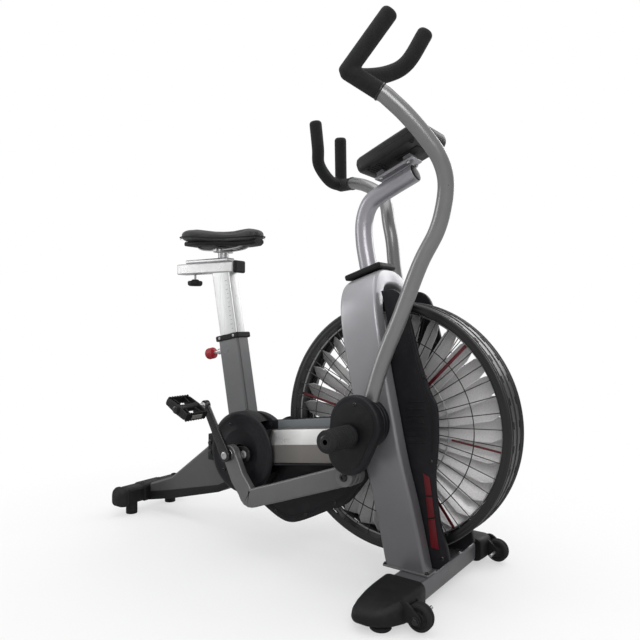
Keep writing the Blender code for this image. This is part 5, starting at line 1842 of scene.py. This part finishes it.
# ======================================================== floor, world, lights
def floor_material():
    """Pale floor that fades into the white backdrop with distance."""
    mat = new_material("studio_floor")
    tone = mat.mix(mat.spread(mat.noise(scale=1.4, detail=5.0, rough=0.6), over=(0.3, 0.7)),
                   (0.90, 0.90, 0.90), (0.92, 0.92, 0.92))
    seen = mat.node('LightPath').outputs['Is Camera Ray']
    # darker to every ray but the camera's
    surface = mat.principled(
        Base_Color=mat.mix(seen, (0.42, 0.42, 0.42), tone), Specular_IOR_Level=0.25,
        Roughness=mat.spread(mat.noise(scale=3.0), over=(0.3, 0.7), to=(0.62, 0.74)),
        Normal=mat.bump(mat.noise(scale=300.0, detail=2.0), strength=0.03, distance=0.0005))
    glow = mat.node('Emission', {'Color': (1, 1, 1, 1), 'Strength': 1.0}).outputs[0]
    distance = mat.node('VectorMath', {0: mat.coords['Object']}, operation='LENGTH')
    fade = mat.multiply(
        mat.spread(distance.outputs['Value'], over=(0.45, 1.30), to=(0.46, 1.0)),
        mat.spread(seen, over=(0.0, 1.0), to=(0.25, 1.0)))
    return mat.finish(mat.node('MixShader', {0: fade, 1: surface, 2: glow}).outputs[0])


def studio_floor():
    mesh = bmesh.new()
    turn(mesh, [(0.0, 0.0)] + [(0.6 * 1.55 ** k, 0.0) for k in range(9)], (0, 0, 0),
         (0, 0, 1), 96)
    data = bpy.data.meshes.new("studio_floor")
    bmesh.ops.recalc_face_normals(mesh, faces=mesh.faces)
    for face in mesh.faces:
        if face.normal.z < 0:
            face.normal_flip()
    mesh.to_mesh(data)
    mesh.free()
    data.materials.append(floor_material())
    floor = bpy.data.objects.new("studio_floor", data)
    floor.location.z = -0.0002
    scene.collection.objects.link(floor)


def studio_world():
    """White to the camera; a soft gray-to-white sky for the light."""
    scene.world = bpy.data.worlds.new("studio")
    sky = Shader(scene.world, 'OutputWorld')
    backdrop = sky.node('Background', {'Color': (1, 1, 1, 1), 'Strength': 1.0})
    height = sky.node('SeparateXYZ', {0: sky.coords['Generated']}).outputs['Z']
    ramp = sky.node('ValToRGB', {0: sky.spread(height, over=(-1.0, 1.0))})
    low, high = ramp.color_ramp.elements
    low.position = 0.30
    low.color = (0.55, 0.55, 0.56, 1)
    high.position = 1.0
    high.color = (1.0, 1.0, 1.0, 1)
    dome = sky.node('Background', {'Color': ramp.outputs[0], 'Strength': 0.62})
    seen = sky.node('LightPath').outputs['Is Camera Ray']
    sky.finish(sky.node('MixShader', {0: seen, 1: dome.outputs[0],
                                      2: backdrop.outputs[0]}).outputs[0])


def softbox(name, place, target, size, power, height=None):
    light = bpy.data.lights.new(name, 'AREA')
    light.shape = 'RECTANGLE'
    light.size = size
    light.size_y = height or size
    light.energy = power
    obj = bpy.data.objects.new(name, light)
    scene.collection.objects.link(obj)
    obj.location = place
    aim = Vector(target) - Vector(place)
    obj.rotation_euler = aim.to_track_quat('-Z', 'Y').to_euler()


studio_floor()
studio_world()
softbox("top_softbox", place=(0.0, -0.2, 3.2), target=(0, 0, 0.5), size=3.0, power=34.0)
softbox("key_softbox", place=(2.2, -2.6, 2.3), target=(0.0, 0, 0.6), size=1.8, power=38.0)
softbox("left_strip", place=(-2.6, -1.8, 1.5), target=(-0.1, 0, 0.6), size=1.0, power=16.0,
        height=2.0)
softbox("back_strip", place=(0.8, 2.6, 1.9), target=(0.0, 0, 0.6), size=1.6, power=22.0)

scene.view_settings.view_transform = 'Standard'
scene.view_settings.look = 'None'

# ====================================================================== camera
CAMERA_PLACE = Vector((0.774 + ORIGIN_SHIFT, -1.4415, 0.666))
CAMERA_YAW = radians(35.4)              # from +Y towards -X
CAMERA_PITCH = radians(-0.05)           # downwards
CAMERA_ROLL = radians(0.43)
SENSOR_MM = 36
LENS_MM = 34.65


def add_camera():
    forward = Vector((-sin(CAMERA_YAW) * cos(CAMERA_PITCH),
                      cos(CAMERA_YAW) * cos(CAMERA_PITCH), -sin(CAMERA_PITCH)))
    level = Vector((cos(CAMERA_YAW), sin(CAMERA_YAW), 0))
    upright = level.cross(forward)
    c, s = cos(CAMERA_ROLL), sin(CAMERA_ROLL)
    right, up = c * level + s * upright, -s * level + c * upright
    data = bpy.data.cameras.new("camera")
    data.sensor_width = SENSOR_MM
    data.lens = LENS_MM
    camera = bpy.data.objects.new("camera", data)
    rows = [(right[i], up[i], -forward[i], CAMERA_PLACE[i]) for i in range(3)]
    camera.matrix_world = Matrix((*rows, (0, 0, 0, 1)))
    scene.collection.objects.link(camera)
    scene.camera = camera


add_camera()
